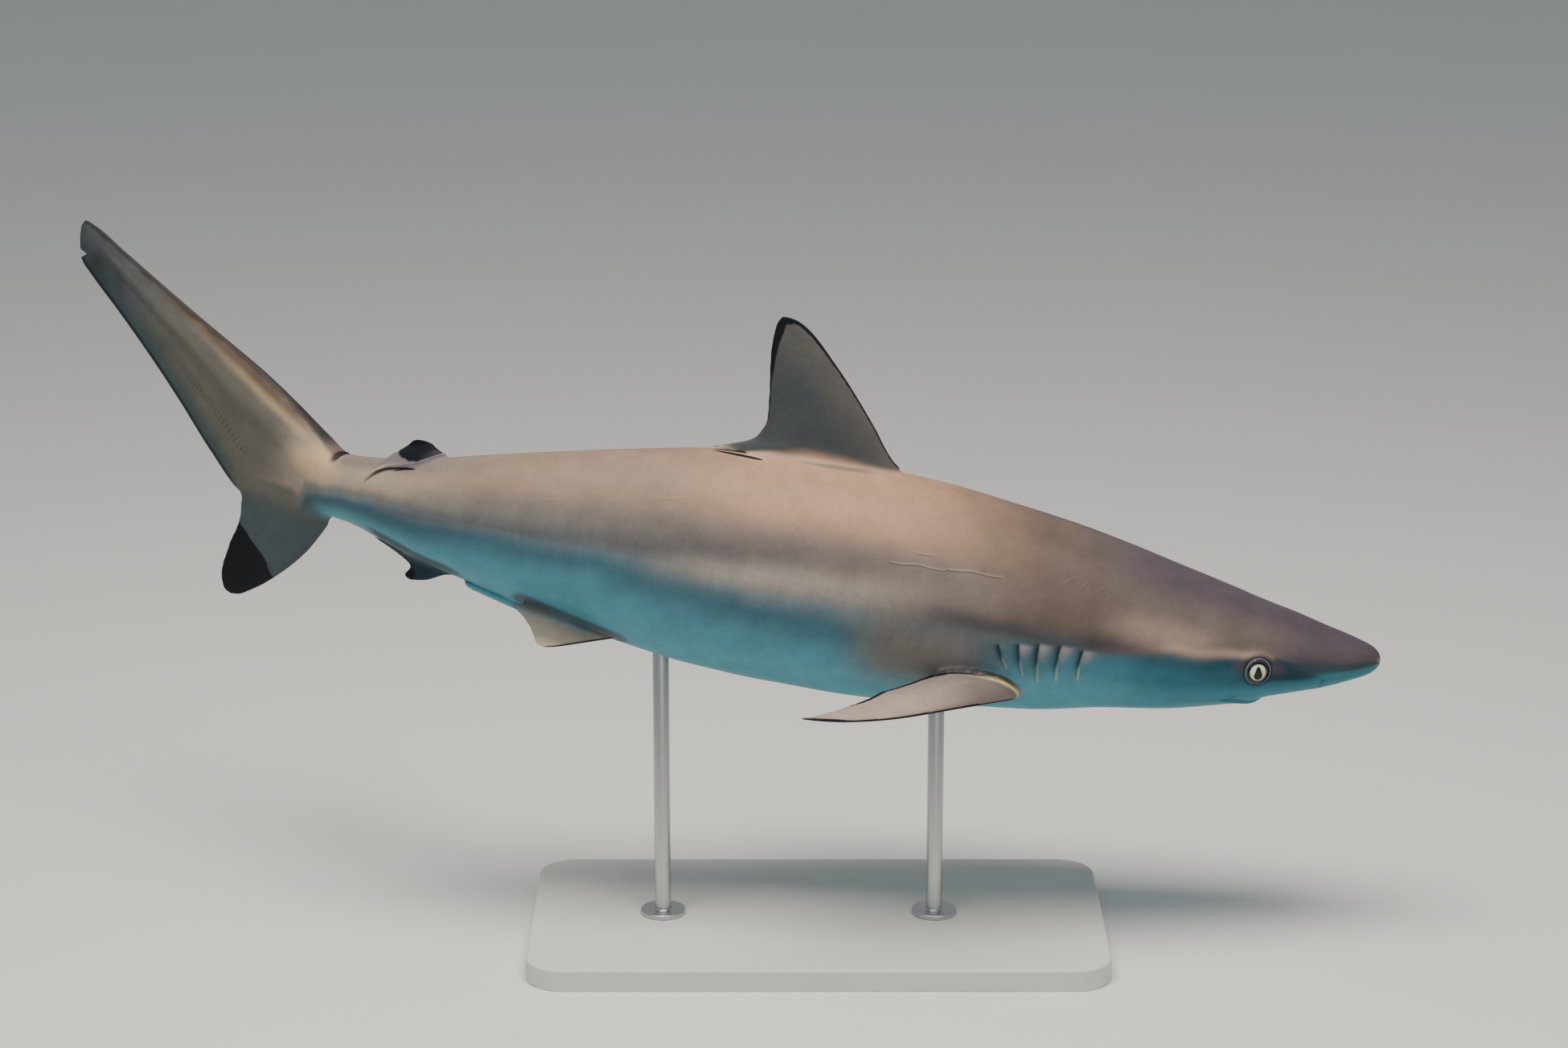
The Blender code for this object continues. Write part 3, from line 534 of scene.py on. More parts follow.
class Fin:
    """A fin's plane, its two edges and its sizes, as shares of the shark's length.

    The insertion is the share of the root that joins the body, the dip how far the root goes
    into it, and the shoulder how far the fin's upper side swells at the root.
    """

    def __init__(self, plane, edges, thickness, insertion, dip, warp=None, shoulder=0.0):
        self.plane, self.edges, self.warp = plane, edges, warp
        self.thickness, self.shoulder = thickness, shoulder
        self.insertion, self.dip = insertion, dip


FINS = {
    "first_dorsal_fin": Fin(FinPlane(), FIRST_DORSAL_EDGES, 0.0058, 0.75, 0.012),
    "second_dorsal_fin": Fin(FinPlane(), SECOND_DORSAL_EDGES, 0.0026, 0.45, 0.010, flop_over_flank),
    "anal_fin": Fin(FinPlane(), ANAL_EDGES, 0.0026, 0.55, -0.010),
    "caudal_fin_lower": Fin(FinPlane(), TAIL_LOWER_EDGES, 0.0046, 1.2, -0.012),
}
for side_name, hand in HANDS.items():
    pectoral_plane = FinPlane((0.2345, hand * 0.0500, -0.0448), hand, droop=10, rise=2)
    pelvic_plane = FinPlane((0.497, hand * 0.0200, -0.0545), hand, droop=33, rise=10.5)
    FINS["pectoral_fin_" + side_name] = Fin(
        pectoral_plane, PECTORAL_EDGES, 0.0042, 0.62, 0.020, shoulder=0.0092)
    FINS["pelvic_fin_" + side_name] = Fin(pelvic_plane, PELVIC_EDGES, 0.0026, 0.84, 0.010)
print("outlines of", len(FINS), "fins")

# %% Fin blades
FIN_RIBS = int(90 / COARSEN)
FIN_CHORD = int(48 / COARSEN)
TIP_ROUNDING = 0.05        # share of the ribs over which the tip closes


def smooth_path(points, amounts):
    """Points on the smooth path through the points, the amounts running from 0 to 1."""
    points = np.asarray(points, float)
    legs = np.linalg.norm(np.diff(points, axis=0), axis=1)
    knots = np.concatenate([[0.0], np.cumsum(legs)]) / legs.sum()
    return np.stack([smooth_curve(knots, points[:, k], amounts) for k in range(points.shape[1])], -1)


def fin_rings(fin):
    """Rings round the blade of a fin, from its root to its tip."""
    t = np.linspace(0.0, 1.0, FIN_RIBS)[:, None] ** 1.1
    c = ((1 - np.cos(np.linspace(0.0, math.pi, FIN_CHORD))) / 2)[None, :]
    lead, tail = smooth_path(fin.edges[0], t[:, 0]), smooth_path(fin.edges[1], t[:, 0])
    closing = np.sqrt(np.clip(1 - ((t - 1 + TIP_ROUNDING) / TIP_ROUNDING).clip(0, 1) ** 2, 0.01, 1))
    share = 0.5 + (c - 0.5) * closing
    ripple = 0.00022 * np.sin(t * 47) * np.sin(t * 19 + 1) * c ** 8 * np.sin(math.pi * t)
    back = lead[:, None, 0] + share * (tail - lead)[:, None, 0] + ripple
    out = lead[:, None, 1] + share * (tail - lead)[:, None, 1]
    fade = np.maximum(0.0, 1 - t / 0.10) ** 2
    in_body = np.clip((fin.insertion - c) / 0.06 + 1.0, 0.0, 1.0)
    if fin.shoulder > 0:
        in_body = 1 - ramp(c, 0.35, 0.98)
    out = out - fade * fin.dip * in_body
    blade = fin.thickness * (1 - t) ** 0.8 * 2.49 * c ** 0.5 * (1 - c) ** 0.9
    rim = EDGE * np.minimum(1.0, np.minimum(c, 1 - c) / 0.03) ** 0.5 * (1 - 0.5 * t) * (1 - 0.45 * c)
    flare = 0.0016 * np.exp(-t / 0.05) * ramp(fin.insertion - c, 0.0, 0.15)
    flare = flare * np.sin(math.pi * c.clip(0.02, 1)) ** 0.5
    thick = (blade + rim + flare) * closing ** 0.5
    swell = fin.shoulder * np.sin(math.pi * c ** 0.55) * np.exp(-(t / 0.24) ** 2)
    upper = fin.plane.points(back, out, thick + swell)
    below = -thick + swell * (0.25 + 0.65 * ramp(c, 0.45, 0.75))
    lower = fin.plane.points(back, out, below)[:, -2:0:-1]
    rings = np.concatenate([upper, lower], 1)
    return (fin.warp(rings) if fin.warp else rings) * TOTAL_LENGTH


def round_angles(count):
    return np.linspace(0, 2 * math.pi, count + 1)[:-1]


CLASPER_START, CLASPER_END = 0.560, 0.6025
CLASPER_SIDE, CLASPER_RADIUS, CLASPER_DROP = 0.0090, 0.0042, 0.0008


def clasper_rings(hand):
    """A tapered rod of cartilage with the groove that runs along its upper side."""
    rings = []
    count = int(60 / COARSEN)
    angles = round_angles(2 * count)
    for t in np.linspace(0.0, 1.0, count):
        station = CLASPER_START + t * (CLASPER_END - CLASPER_START)
        middle = belly_point(station, hand * CLASPER_SIDE) / TOTAL_LENGTH
        middle = middle - np.array([0, 0, CLASPER_DROP])
        end = math.sqrt(max(0.002, 1 - max(0.0, (t - 0.86) / 0.14) ** 2))
        radius = CLASPER_RADIUS * (1 - 0.22 * t) * end
        groove = 1 - 0.22 * bump(angles - math.pi * (0.5 - 0.28 * hand), 0.35) * ramp(t, 0.25, 0.45)
        ring = np.stack([0 * angles, np.cos(angles) * groove, np.sin(angles) * groove], -1)
        rings.append(middle + radius * ring)
    return np.array(rings) * TOTAL_LENGTH


fin_grids = {name: fin_rings(fin) for name, fin in FINS.items()}
for side_name, hand in HANDS.items():
    fin_grids["clasper_" + side_name] = clasper_rings(hand)
print("fins:", ", ".join(fin_grids))

# %% [markdown]
# ## One skin from body and fins
#
# Body, fins and claspers are closed shells that overlap at the roots.  A Boolean union makes them
# one closed skin, and the notch under the tail's tip and the two eye sockets are cut from it.
# Each shell's faces carry a number, in the form of a material index, so that afterwards it is
# known which points came from where and where the seams run.

# %% Shells as meshes
def ring_quads(rings):
    """The numbers of the points of rings, and the quads between one ring and the next."""
    rows, count = rings.shape[:2]
    index = np.arange(rows * count).reshape(rows, count)
    after = np.roll(index, -1, 1)
    quads = np.stack([index[:-1], after[:-1], after[1:], index[1:]], -1)
    return index, quads.reshape(-1, 4).tolist()


def shell_mesh(name, rings, number):
    """A closed mesh over rings of points, its ends closed by strips from side to side."""
    index, quads = ring_quads(rings)
    count = rings.shape[1]
    for row, flip in ((index[0], True), (index[-1], False)):
        for k in range(count // 2):
            corners = list(dict.fromkeys((row[k], row[k + 1], row[-k - 1], row[-k % count])))
            quads.append([int(v) for v in (corners[::-1] if flip else corners)])
    mesh = closed_mesh(name, rings, quads)
    mesh.polygons.foreach_set("material_index", np.full(len(mesh.polygons), number, np.int32))
    return mesh


def read(items, field, width=1, kind=np.int32):
    """One field of all the items of a mesh, as an array with so many numbers for each."""
    values = np.empty(len(items) * width, kind)
    items.foreach_get(field, values)
    return values.reshape(-1, width) if width > 1 else values


def signed_volume(mesh):
    mesh.calc_loop_triangles()
    corners = read(mesh.loop_triangles, "vertices", 3)
    a, b, c = np.moveaxis(read(mesh.vertices, "co", 3, float)[corners], 1, 0)
    return (np.cross(a, b) * c).sum() / 6


def closed_mesh(name, points, faces):
    """A mesh of these faces, all turned to look outwards."""
    mesh = bpy.data.meshes.new(name)
    mesh.from_pydata(points.reshape(-1, 3).tolist(), [], faces)
    if signed_volume(mesh) < 0:
        mesh.flip_normals()
    return mesh


def shade_smooth(mesh):
    mesh.polygons.foreach_set("use_smooth", np.ones(len(mesh.polygons), bool))


def add_object(name, mesh):
    obj = bpy.data.objects.new(name, mesh)
    bpy.context.scene.collection.objects.link(obj)
    return obj


# %% Eye sockets, the notch in the tail and the union's tools
EYE_WIDE, EYE_DEEP, EYE_SUNK = 11.0 * MM, 6.4 * MM, 3.3 * MM
EYE_REACH = 0.007          # how far round the eye the skin's slope is measured, in body lengths
SOCKET_GAP = 0.12 * MM


def eye_frame(hand):
    """The straight matrix of an eyeball, whose z axis looks out of the head."""
    def skin(back, up):
        return Vector(flank_point(EYE_STATION + back, EYE_HEIGHT + up, hand))

    forward = (skin(-EYE_REACH, 0) - skin(EYE_REACH, 0)).normalized()
    out = forward.cross(skin(0, EYE_REACH) - skin(0, -EYE_REACH)).normalized()
    out = out if out.y * hand > 0 else -out
    turn = Matrix((forward, out.cross(forward), out)).transposed().to_4x4()
    return Matrix.Translation(skin(0, 0) - out * EYE_SUNK) @ turn


def ball_rings(wide, deep, rows):
    """Rings of a flattened ball from its back to its front."""
    polar = np.linspace(0.01, math.pi - 0.01, rows)[:, None]
    round_it = round_angles(96)[None, :]
    return np.stack([wide * np.sin(polar) * np.cos(round_it), wide * np.sin(polar) * np.sin(round_it),
                     -deep * np.cos(polar) + 0 * round_it], -1)


def socket_rings(hand):
    """Rings of the ball that leaves room for the eye, straight and in metres."""
    matrix = np.array(eye_frame(hand))
    local = ball_rings(EYE_WIDE + SOCKET_GAP, EYE_DEEP + SOCKET_GAP, 64)
    return local @ matrix[:3, :3].T + matrix[:3, 3]


def joined(name, meshes):
    """One mesh of several shells that don't touch."""
    points, faces, numbers, start = [], [], [], 0
    for mesh in meshes:
        points += [v.co[:] for v in mesh.vertices]
        faces += [[start + v for v in p.vertices] for p in mesh.polygons]
        numbers += [p.material_index for p in mesh.polygons]
        start += len(mesh.vertices)
    whole = bpy.data.meshes.new(name)
    whole.from_pydata(points, [], faces)
    whole.polygons.foreach_set("material_index", numbers)
    return whole


def combined(obj, other, operation):
    """Gives the object the mesh that a Boolean of it with the other mesh makes."""
    tool = add_object("tool", other)
    for material in obj.data.materials:
        other.materials.append(material)
    modifier = obj.modifiers.new("boolean", "BOOLEAN")
    modifier.operation, modifier.object, modifier.solver = operation, tool, "MANIFOLD"
    evaluated = obj.evaluated_get(bpy.context.evaluated_depsgraph_get())
    mesh = bpy.data.meshes.new_from_object(evaluated)
    obj.modifiers.clear()
    obj.data = mesh
    bpy.data.objects.remove(tool)


# station and height of the corners of the notch under the tail's tip
TAIL_NOTCH = ((0.9590, 0.0938), (0.9655, 0.0890), (0.9730, 0.0890), (0.9730, 0.0975), (0.9655, 0.0962))


def notch_mesh():
    """A wedge across the tail just under its tip."""
    sides = [[(s, side, h) for s, h in TAIL_NOTCH] for side in (-0.01, 0.01)]
    count = len(TAIL_NOTCH)
    faces = [[k, (k + 1) % count, (k + 1) % count + count, k + count] for k in range(count)]
    faces += [list(range(count))[::-1], list(range(count, 2 * count))]
    return closed_mesh("notch", np.array(sides) * TOTAL_LENGTH, faces)


# %% The union
nose = np.array([SECTIONS[0, 0], 0.0, SECTIONS[0, 1]]) * TOTAL_LENGTH
nose_ring = nose + (skin_points[0] - nose) * 0.05
body_rings = np.concatenate([nose_ring[None], skin_points])
shell_numbers = {name: k + 1 for k, name in enumerate(fin_grids)}
SOCKET_NUMBER = len(shell_numbers) + 1

shark = add_object("shark_skin", shell_mesh("shark_skin", body_rings, 0))
for k in range(SOCKET_NUMBER + 1):
    shark.data.materials.append(bpy.data.materials.new(f"shell {k}"))
fin_meshes = {name: shell_mesh(name, rings, shell_numbers[name]) for name, rings in fin_grids.items()}
claspers = [mesh for name, mesh in fin_meshes.items() if name.startswith("clasper")]
blades = [mesh for name, mesh in fin_meshes.items() if not name.startswith("clasper")]
combined(shark, joined("blades", blades), "UNION")
combined(shark, joined("claspers", claspers), "UNION")
combined(shark, notch_mesh(), "DIFFERENCE")
sockets = [shell_mesh("socket", socket_rings(hand), SOCKET_NUMBER) for hand in HANDS.values()]
combined(shark, joined("sockets", sockets), "DIFFERENCE")
print("one skin of", len(shark.data.vertices), "points and", len(shark.data.polygons), "faces")

# %% [markdown]
# ## Blending the seams
#
# A fin doesn't meet the body in a crease: the skin runs up onto it in a soft hollow.  The points
# near each seam are moved towards the mean of their neighbours, over 9 mm for the large fins,
# 4 or 5 mm for the small ones and about 1 mm for the claspers and round the eye sockets.

# %% Softer seams
SEAM_REACH_MM = {"first_dorsal_fin": 9.0, "pectoral_fin_left": 9.0, "pectoral_fin_right": 9.0,
                 "caudal_fin_lower": 9.0, "second_dorsal_fin": 4.0, "anal_fin": 4.0,
                 "pelvic_fin_left": 5.0, "pelvic_fin_right": 5.0,
                 "clasper_left": 1.5, "clasper_right": 1.5}
SEAM_FAR_MM = 16.0
RELAX_STEP = 0.6           # share of the way to the neighbours' mean that a point moves at a time


def mesh_numbers(mesh):
    """Points, edges, and the lowest and highest shell number met at each point."""
    corners = read(mesh.loops, "vertex_index")
    owners = np.repeat(read(mesh.polygons, "material_index"), read(mesh.polygons, "loop_total"))
    low = np.full(len(mesh.vertices), 99)
    high = np.zeros(len(mesh.vertices), int)
    np.minimum.at(low, corners, owners)
    np.maximum.at(high, corners, owners)
    return read(mesh.vertices, "co", 3, float), read(mesh.edges, "vertices", 2), low, high


def away_from(seeds, points, edges, limit):
    """Distance in mm along the mesh's edges to the nearest of the seed points."""
    away = np.full(len(points), limit)
    away[seeds] = 0.0
    a, b = edges.T
    length = np.linalg.norm(points[a] - points[b], axis=1) / MM
    for _ in range(int(60 / COARSEN)):
        before = away.sum()
        np.minimum.at(away, b, away[a] + length)
        np.minimum.at(away, a, away[b] + length)
        if before - away.sum() < 1e-6:
            break
    return away


def relaxed(points, edges, weights, rounds):
    """The points after moving each towards the mean of its neighbours, by its weight."""
    moving = weights > 0
    used = edges[moving[edges].any(1)]
    kept, small = np.unique(used, return_inverse=True)
    small = small.reshape(-1, 2)
    here, weight = points[kept].copy(), (RELAX_STEP * weights[kept])[:, None]
    degree = np.bincount(small.ravel(), minlength=len(kept))[:, None]
    for _ in range(rounds):
        total = np.stack([np.bincount(small[:, 0], here[small[:, 1], k], len(kept))
                          + np.bincount(small[:, 1], here[small[:, 0], k], len(kept))
                          for k in range(3)], -1)
        here += weight * (total / degree - here)
    points = points.copy()
    points[kept] = here
    return points


straight, edges, low_number, high_number = mesh_numbers(shark.data)
into_fin = {}              # per shell, mm from its seam: positive on the fin, negative on the body
for name, number in shell_numbers.items():
    seam = (high_number == number) & (low_number != number)
    away = away_from(seam, straight, edges, SEAM_FAR_MM)
    into_fin[name] = np.where(high_number == number, away, -away)
blend = np.zeros(len(straight))
for name, reach in SEAM_REACH_MM.items():
    blend = np.maximum(blend, 1 - ramp(np.abs(into_fin[name]), 0.0, reach))
straight = relaxed(straight, edges, blend, int(60 / COARSEN ** 2))
socket_seam = (high_number == SOCKET_NUMBER) & (low_number != SOCKET_NUMBER)
from_socket = away_from(socket_seam, straight, edges, 3.0)
straight = relaxed(straight, edges, 1 - ramp(from_socket, 0.0, 0.9), 8)
print("seams softened at", int((blend > 0).sum()), "points")

# %% [markdown]
# ## Where the colours lie
#
# A requiem shark is dark above and pale below, and this one has sharp black dips on the second
# dorsal, the pectorals and the lower tail lobe.  The paint of such a model goes on in layers:
# belly, back, the darker band at their border, the pale wedge on the flank, then each fin.
# The layers are worked out here at every point of the skin, from its station, its height
# and the fin it belongs to, and the material only adds the fine grain.  Some layers are painted
# light and shade: the belly's teal is the colour of blue-green water light, painted shadow lies
# under the snout, round the eyes, in the gill slits, in the gaps under the fins, at fin roots
# and over the anal fin, and painted highlight lies on the gill flaps, the brow, the fin roots
# and the tail.

# %% Colours
def to_linear(code):
    """Linear red, green and blue of a colour written as an sRGB hex code."""
    channels = [int(code[k:k + 2], 16) / 255 for k in (1, 3, 5)]
    return np.array([c / 12.92 if c <= 0.04045 else ((c + 0.055) / 1.055) ** 2.4 for c in channels])


BACK = to_linear("#9E7E67")
BACK_FRONT = to_linear("#5B4F49")
BACK_REAR = to_linear("#827162")
FLANK = to_linear("#686362")
DARK_BAND = to_linear("#4C4B50")
DUSK = to_linear("#375866")
HEAD_CROWN = to_linear("#463F49")
HEAD_BROWN = to_linear("#5D5351")
# cream on the cheek behind the eye, also used as painted highlight over the brow
CHEEK_CREAM_AND_HIGHLIGHT = to_linear("#A18F7E")
# painted shade: the dark band above the gill slits, where they lie in a hollow under the ridge
GILL_RIDGE_SHADE = to_linear("#35343B")
# painted highlight: the lit upper part of the skin flap between two gill slits
GILL_FLAP_HIGHLIGHT = to_linear("#8A8386")
# painted shadow: dark teal shade under the snout's eave, round the eye, behind the gill slits and on the
# lower lid
TEAL_SHADE = to_linear("#12303A")
# painted shade: the head's underside, darkened as it lies in shade, teal as in the water light
CHEEK_SHADE_TEAL = to_linear("#2F6C7B")
# painted light: the pale belly is painted teal, the colour of blue-green water light falling on it
BELLY_WATER_TEAL = to_linear("#4F8D9D")
PALE_WEDGE = to_linear("#958C85")
# the grey over the pectoral's shoulder and at the tail's tip, also used as painted shade on the pectoral
# root and round the pelvic roots
SHOULDER_GREY_AND_SHADE = to_linear("#4C5355")
SHOULDER_BROWN = to_linear("#756D69")
# painted highlight: the bright cream glint along the pectoral's front root
PECTORAL_ROOT_HIGHLIGHT = to_linear("#E8CC92")
# the dusky grey of the fins, also used as painted shade in the crease at the first dorsal fin's base
FIN_DARK_AND_SHADE = to_linear("#3D4346")
FIN_BROWN = to_linear("#55524F")
# painted shade: the anal fin and the skin by its margin, dark as they lie in shade
ANAL_SHADE = to_linear("#142E3A")
PECTORAL_TOP = to_linear("#968780")
# painted light: the pectorals' pale undersides, painted teal like the belly in water light
PECTORAL_UNDER = to_linear("#7A9496")
PELVIC_TAN = to_linear("#5A5952")
TAIL_BROWN = to_linear("#534439")
TAIL_WEB = to_linear("#5B5A55")
# painted highlight: the lit ridge of the upper tail lobe and the lit base of the tail
TAIL_HIGHLIGHT = to_linear("#B59F7E")
# cream of the tail stem's back, also used as painted highlight at the first dorsal fin's base and on the
# pelvic fins
STEM_CREAM_AND_HIGHLIGHT = to_linear("#9C8E7E")
# cream of the pale fin margins, also used as painted highlight on the snout tip and on the gill flaps' edges
CREAM_EDGE_AND_HIGHLIGHT = to_linear("#CBBB9C")
CROWN_REAR = to_linear("#605A5E")
LOW_FLANK = to_linear("#6B6E6E")
FIN_MARGIN = to_linear("#6A6668")
# painted shade: deeper shade low on the head below and behind the eye
CHEEK_DEEP_SHADE = to_linear("#245C6D")
# painted shadow: the dark line under the snout's eave, from the nose towards the eye
SNOUT_EAVE_SHADE = to_linear("#303C46")
LOBE_DARK = to_linear("#3B474C")
EYE_SHADOW = to_linear("#413D48")
# painted shade: the pectoral's upper root, darkened to look like the body's shaded side
BULGE_SHADE = to_linear("#2B3033")
# painted shade on the body over the anal fin
ANAL_BAND_SHADE = to_linear("#2C4149")
LID = to_linear("#4C4148")
EYE_RIM = to_linear("#6C7F80")
# the black of the fin tips and margins, also used as dark painted shade in the gill slits, in the gaps under
# the fins and in the creases round the eyes
BLACK_AND_SHADE = to_linear("#101018")


# %% Layers and the paths of their borders
def path_height(station, path):
    """Height at each station of a path of (station, height)."""
    stations, heights = np.array(path).T
    return np.interp(station, stations, heights)


class Paint:
    """A colour at every point, laid on in layers."""

    def __init__(self, count, colour):
        self.colour = np.tile(colour, (count, 1))

    def lay(self, colour, amount):
        amount = np.clip(amount, 0, 1)[:, None]
        self.colour = self.colour * (1 - amount) + colour * amount


def waves(points, size_mm, seed):
    """A slow uneven wave from -1 to 1, for borders that shouldn't be ruled lines."""
    p = points / (size_mm * MM)
    return (np.sin(p[:, 0] + 1.7 * np.sin(0.6 * p[:, 2] + seed)) * np.sin(1.3 * p[:, 2] + 2.1 * seed)
            + 0.5 * np.sin(2.3 * p[:, 0] + 1.1 * p[:, 1] + 3 * seed)) / 1.5


# Paths of (station, latitude) along the body: the border between back and belly, the middle of
# the pale wedge, the dark line above it, the upper edge of the painted shade over the anal fin,
# and the painted shadows in the gaps under the free rear tips of the two dorsal fins.
BORDER = ((0.00, 4), (0.03, 5), (0.045, 8), (0.06, 12), (0.08, 14), (0.10, 11), (0.14, 6.5), (0.18, 1),
          (0.22, 1), (0.28, -2), (0.34, -4), (0.40, -3), (0.46, -1), (0.52, 5), (0.58, 4), (0.64, 1),
          (0.70, -4), (0.725, -12), (0.74, -32), (0.755, -75), (0.765, -95), (1.0, -95))
WEDGE = ((0.30, 14), (0.34, 10), (0.40, 7), (0.46, 6), (0.52, 5))
DARK_LINE = ((0.28, 22), (0.34, 25), (0.40, 20), (0.46, 15), (0.52, 11), (0.58, 7), (0.64, 2), (0.70, -4))
ANAL_SHADE_BAND = ((0.595, -60), (0.6045, -53), (0.6144, -50), (0.6350, -48), (0.6440, -44),
             (0.6570, -41.4), (0.68, -40))
DORSAL_GAP_SHADOW = ((0.4235, 78.8), (0.4307, 80.7), (0.4387, 83.0), (0.4466, 85.3), (0.4559, 88.0))
SECOND_GAP_SHADOW = ((0.6440, 56.0), (0.6500, 54.8), (0.6560, 53.2), (0.6610, 51.2))
# what is higher than this by a pectoral's middle sheet counts as its upper side
UPPER_SIDE = -0.002
# station, and how far the tail's ridge, with its painted highlight, lies below the tail's upper edge
TAIL_RIDGE = ((0.72, 0.0020), (0.74, 0.0045), (0.755, 0.0062), (0.795, 0.0098), (0.83, 0.0080),
              (0.86, 0.0050))
# station and height of the black's border on the lower tail lobe and on the second dorsal fin
LOBE_BLACK = ((0.7600, -0.100), (0.7715, -0.0883), (0.7842, -0.0752), (0.7940, -0.0700),
              (0.8095, -0.0593))
SECOND_BLACK = ((0.627, 0.0430), (0.6362, 0.0372), (0.6450, 0.0312), (0.6520, 0.0300),
                (0.6600, 0.0300), (0.6650, 0.0310), (0.6700, 0.0400))

station, side, height = straight.T / TOTAL_LENGTH
here = Section(station)
up_share = (height - here.level) / np.where(height > here.level, here.top - here.level,
                                            here.level - here.bottom).clip(1e-4)
latitude = np.degrees(np.arctan2(up_share, np.abs(side) / here.half.clip(1e-4)))
border = path_height(station, BORDER) + 2.0 * waves(straight, 14, 1.0)
print("the back's border runs from", border.min().round(), "to", border.max().round(), "degrees up")

# %% Measures on the fins
def fin_amount(name, start=-1.0, end=4.0):
    return ramp(into_fin[name], start, end)


def own_plane(name):
    """Each point's place by the fin's own plane: how far back, how far out and how far above."""
    return FINS[name].plane.measures(straight / TOTAL_LENGTH)


def free_margin(name, reach=0.12):
    """The fin's lower margin from its insertion to its free rear tip, straight and in metres."""
    ring = fin_grids[name][0]
    insertion = FINS[name].insertion
    first = int(FIN_CHORD * math.acos(1 - 2 * (insertion - reach)) / math.pi)
    upper, lower = ring[first:FIN_CHORD], np.roll(ring[::-1], 1, 0)[first:FIN_CHORD]
    return list((upper + lower) / 2)


# %% Back, flank and belly
def back_colours():
    """The back's own colours, all round the body, to be laid on down to the border."""
    back = Paint(len(straight), BACK)
    above = latitude - border
    back.lay(BACK_REAR, ramp(station, 0.42, 0.49))
    back.lay(BACK_FRONT, 1 - ramp(station, 0.225, 0.345))
    back.lay(FLANK, 0.85 * ramp(station, 0.22, 0.30) * (1 - ramp(latitude, 24, 44)))
    back.lay(LOW_FLANK, 0.85 * ramp(station, 0.30, 0.38) * (1 - ramp(above, 6, 26)))
    back.lay(STEM_CREAM_AND_HIGHLIGHT, 0.80 * ramp(station, 0.58, 0.68) * ramp(above, 8, 24))
    crown = window(station, 0.56, 0.66, 0.73, 0.75)
    back.lay(CROWN_REAR, 0.65 * crown * ramp(latitude, 36, 62))
    head = 1 - ramp(station, 0.15, 0.23)
    back.lay(HEAD_BROWN, head)
    back.lay(HEAD_CROWN, 0.85 * head * ramp(latitude, 32, 64))
    back.lay(HEAD_CROWN, 0.75 * head * (1 - ramp(station, 0.05, 0.085)))
    return back.colour


def paint_body(paint):
    above = latitude - border
    rear = ramp(station, 0.16, 0.24)
    soft = 3.0 + 8.0 * rear
    fore = 1 - ramp(station, 0.13, 0.22)
    # painted shade under the head
    paint.lay(CHEEK_SHADE_TEAL, 0.90 * fore * ramp(latitude, -85, -25))
    dusk = 0.90 * bump(above + 7, 15) + 0.35 * bump(above + 22, 12) * ramp(station, 0.55, 0.66)
    paint.lay(DUSK, rear * dusk * (1 - ramp(station, 0.735, 0.765)))
    paint.lay(LOBE_DARK, 0.75 * ramp(station, 0.708, 0.742))
    around_eye_shade = window(station, 0.036, 0.054, 0.098, 0.150)
    # deeper painted shade low on the head round the eye
    paint.lay(CHEEK_DEEP_SHADE, 0.78 * fore * ramp(station, 0.040, 0.060) * ramp(latitude, -30, -15))
    around_eye_shade = around_eye_shade * (1 - 0.7 * ramp(station, 0.080, 0.105))
    # painted shadow of the brow and snout on the head in front of and behind the eye
    paint.lay(TEAL_SHADE, 0.95 * around_eye_shade * ramp(latitude, -19, -9))
    paint.lay(TEAL_SHADE, 0.60 * fore * ramp(station, 0.08, 0.10) * bump(above + 4, 8))
    paint.lay(back_colours(), ramp(above, -soft, soft))
    snout = 1 - ramp(station, 0.050, 0.075)
    # painted highlight on the snout tip
    paint.lay(CREAM_EDGE_AND_HIGHLIGHT, 0.45 * (1 - ramp(station, 0.0012, 0.0045)) * bump(latitude - 8, 25))
    # painted shadow along the snout's lower edge
    paint.lay(SNOUT_EAVE_SHADE, 0.92 * snout * bump(above + 2.5 - 5 * ramp(above, -2, 6), 7))
    wedge = bump(latitude - path_height(station, WEDGE), 7) * ramp(station, 0.29, 0.35)
    paint.lay(PALE_WEDGE, 0.80 * wedge * (1 - ramp(station, 0.44, 0.50)))
    line = latitude - path_height(station, DARK_LINE) + 1.5 * waves(straight, 30, 7.0)
    band = bump(line, 6.5 + 3 * ramp(line, -2, 6)) * ramp(station, 0.27, 0.40)
    band = band * (1 - ramp(station, 0.62, 0.70))
    paint.lay(DARK_BAND, (0.45 + 0.20 * ramp(station, 0.40, 0.46)) * band)
    warm = bump(latitude - 19, 11) * window(station, 0.105, 0.135, 0.155, 0.205)
    paint.lay(CHEEK_CREAM_AND_HIGHLIGHT, 0.48 * warm)
    cheek = bump(above - 4.5, 3.5) * window(station, 0.080, 0.092, 0.135, 0.175)
    paint.lay(CHEEK_CREAM_AND_HIGHLIGHT, 0.60 * cheek)
    shoulder = bump(latitude + 18, 20) * window(station, 0.238, 0.275, 0.320, 0.365)
    paint.lay(SHOULDER_GREY_AND_SHADE, 0.85 * shoulder)
    paint.lay(SHOULDER_BROWN, 0.80 * shoulder * ramp(station, 0.258, 0.288))
    drift = 2.0 * waves(straight, 22, 4.0)
    # painted shade above the gills
    ridge = bump(latitude - 4.0 - drift, 6) * window(station, 0.13, 0.20, 0.27, 0.34)
    paint.lay(GILL_RIDGE_SHADE, 0.75 * ridge)


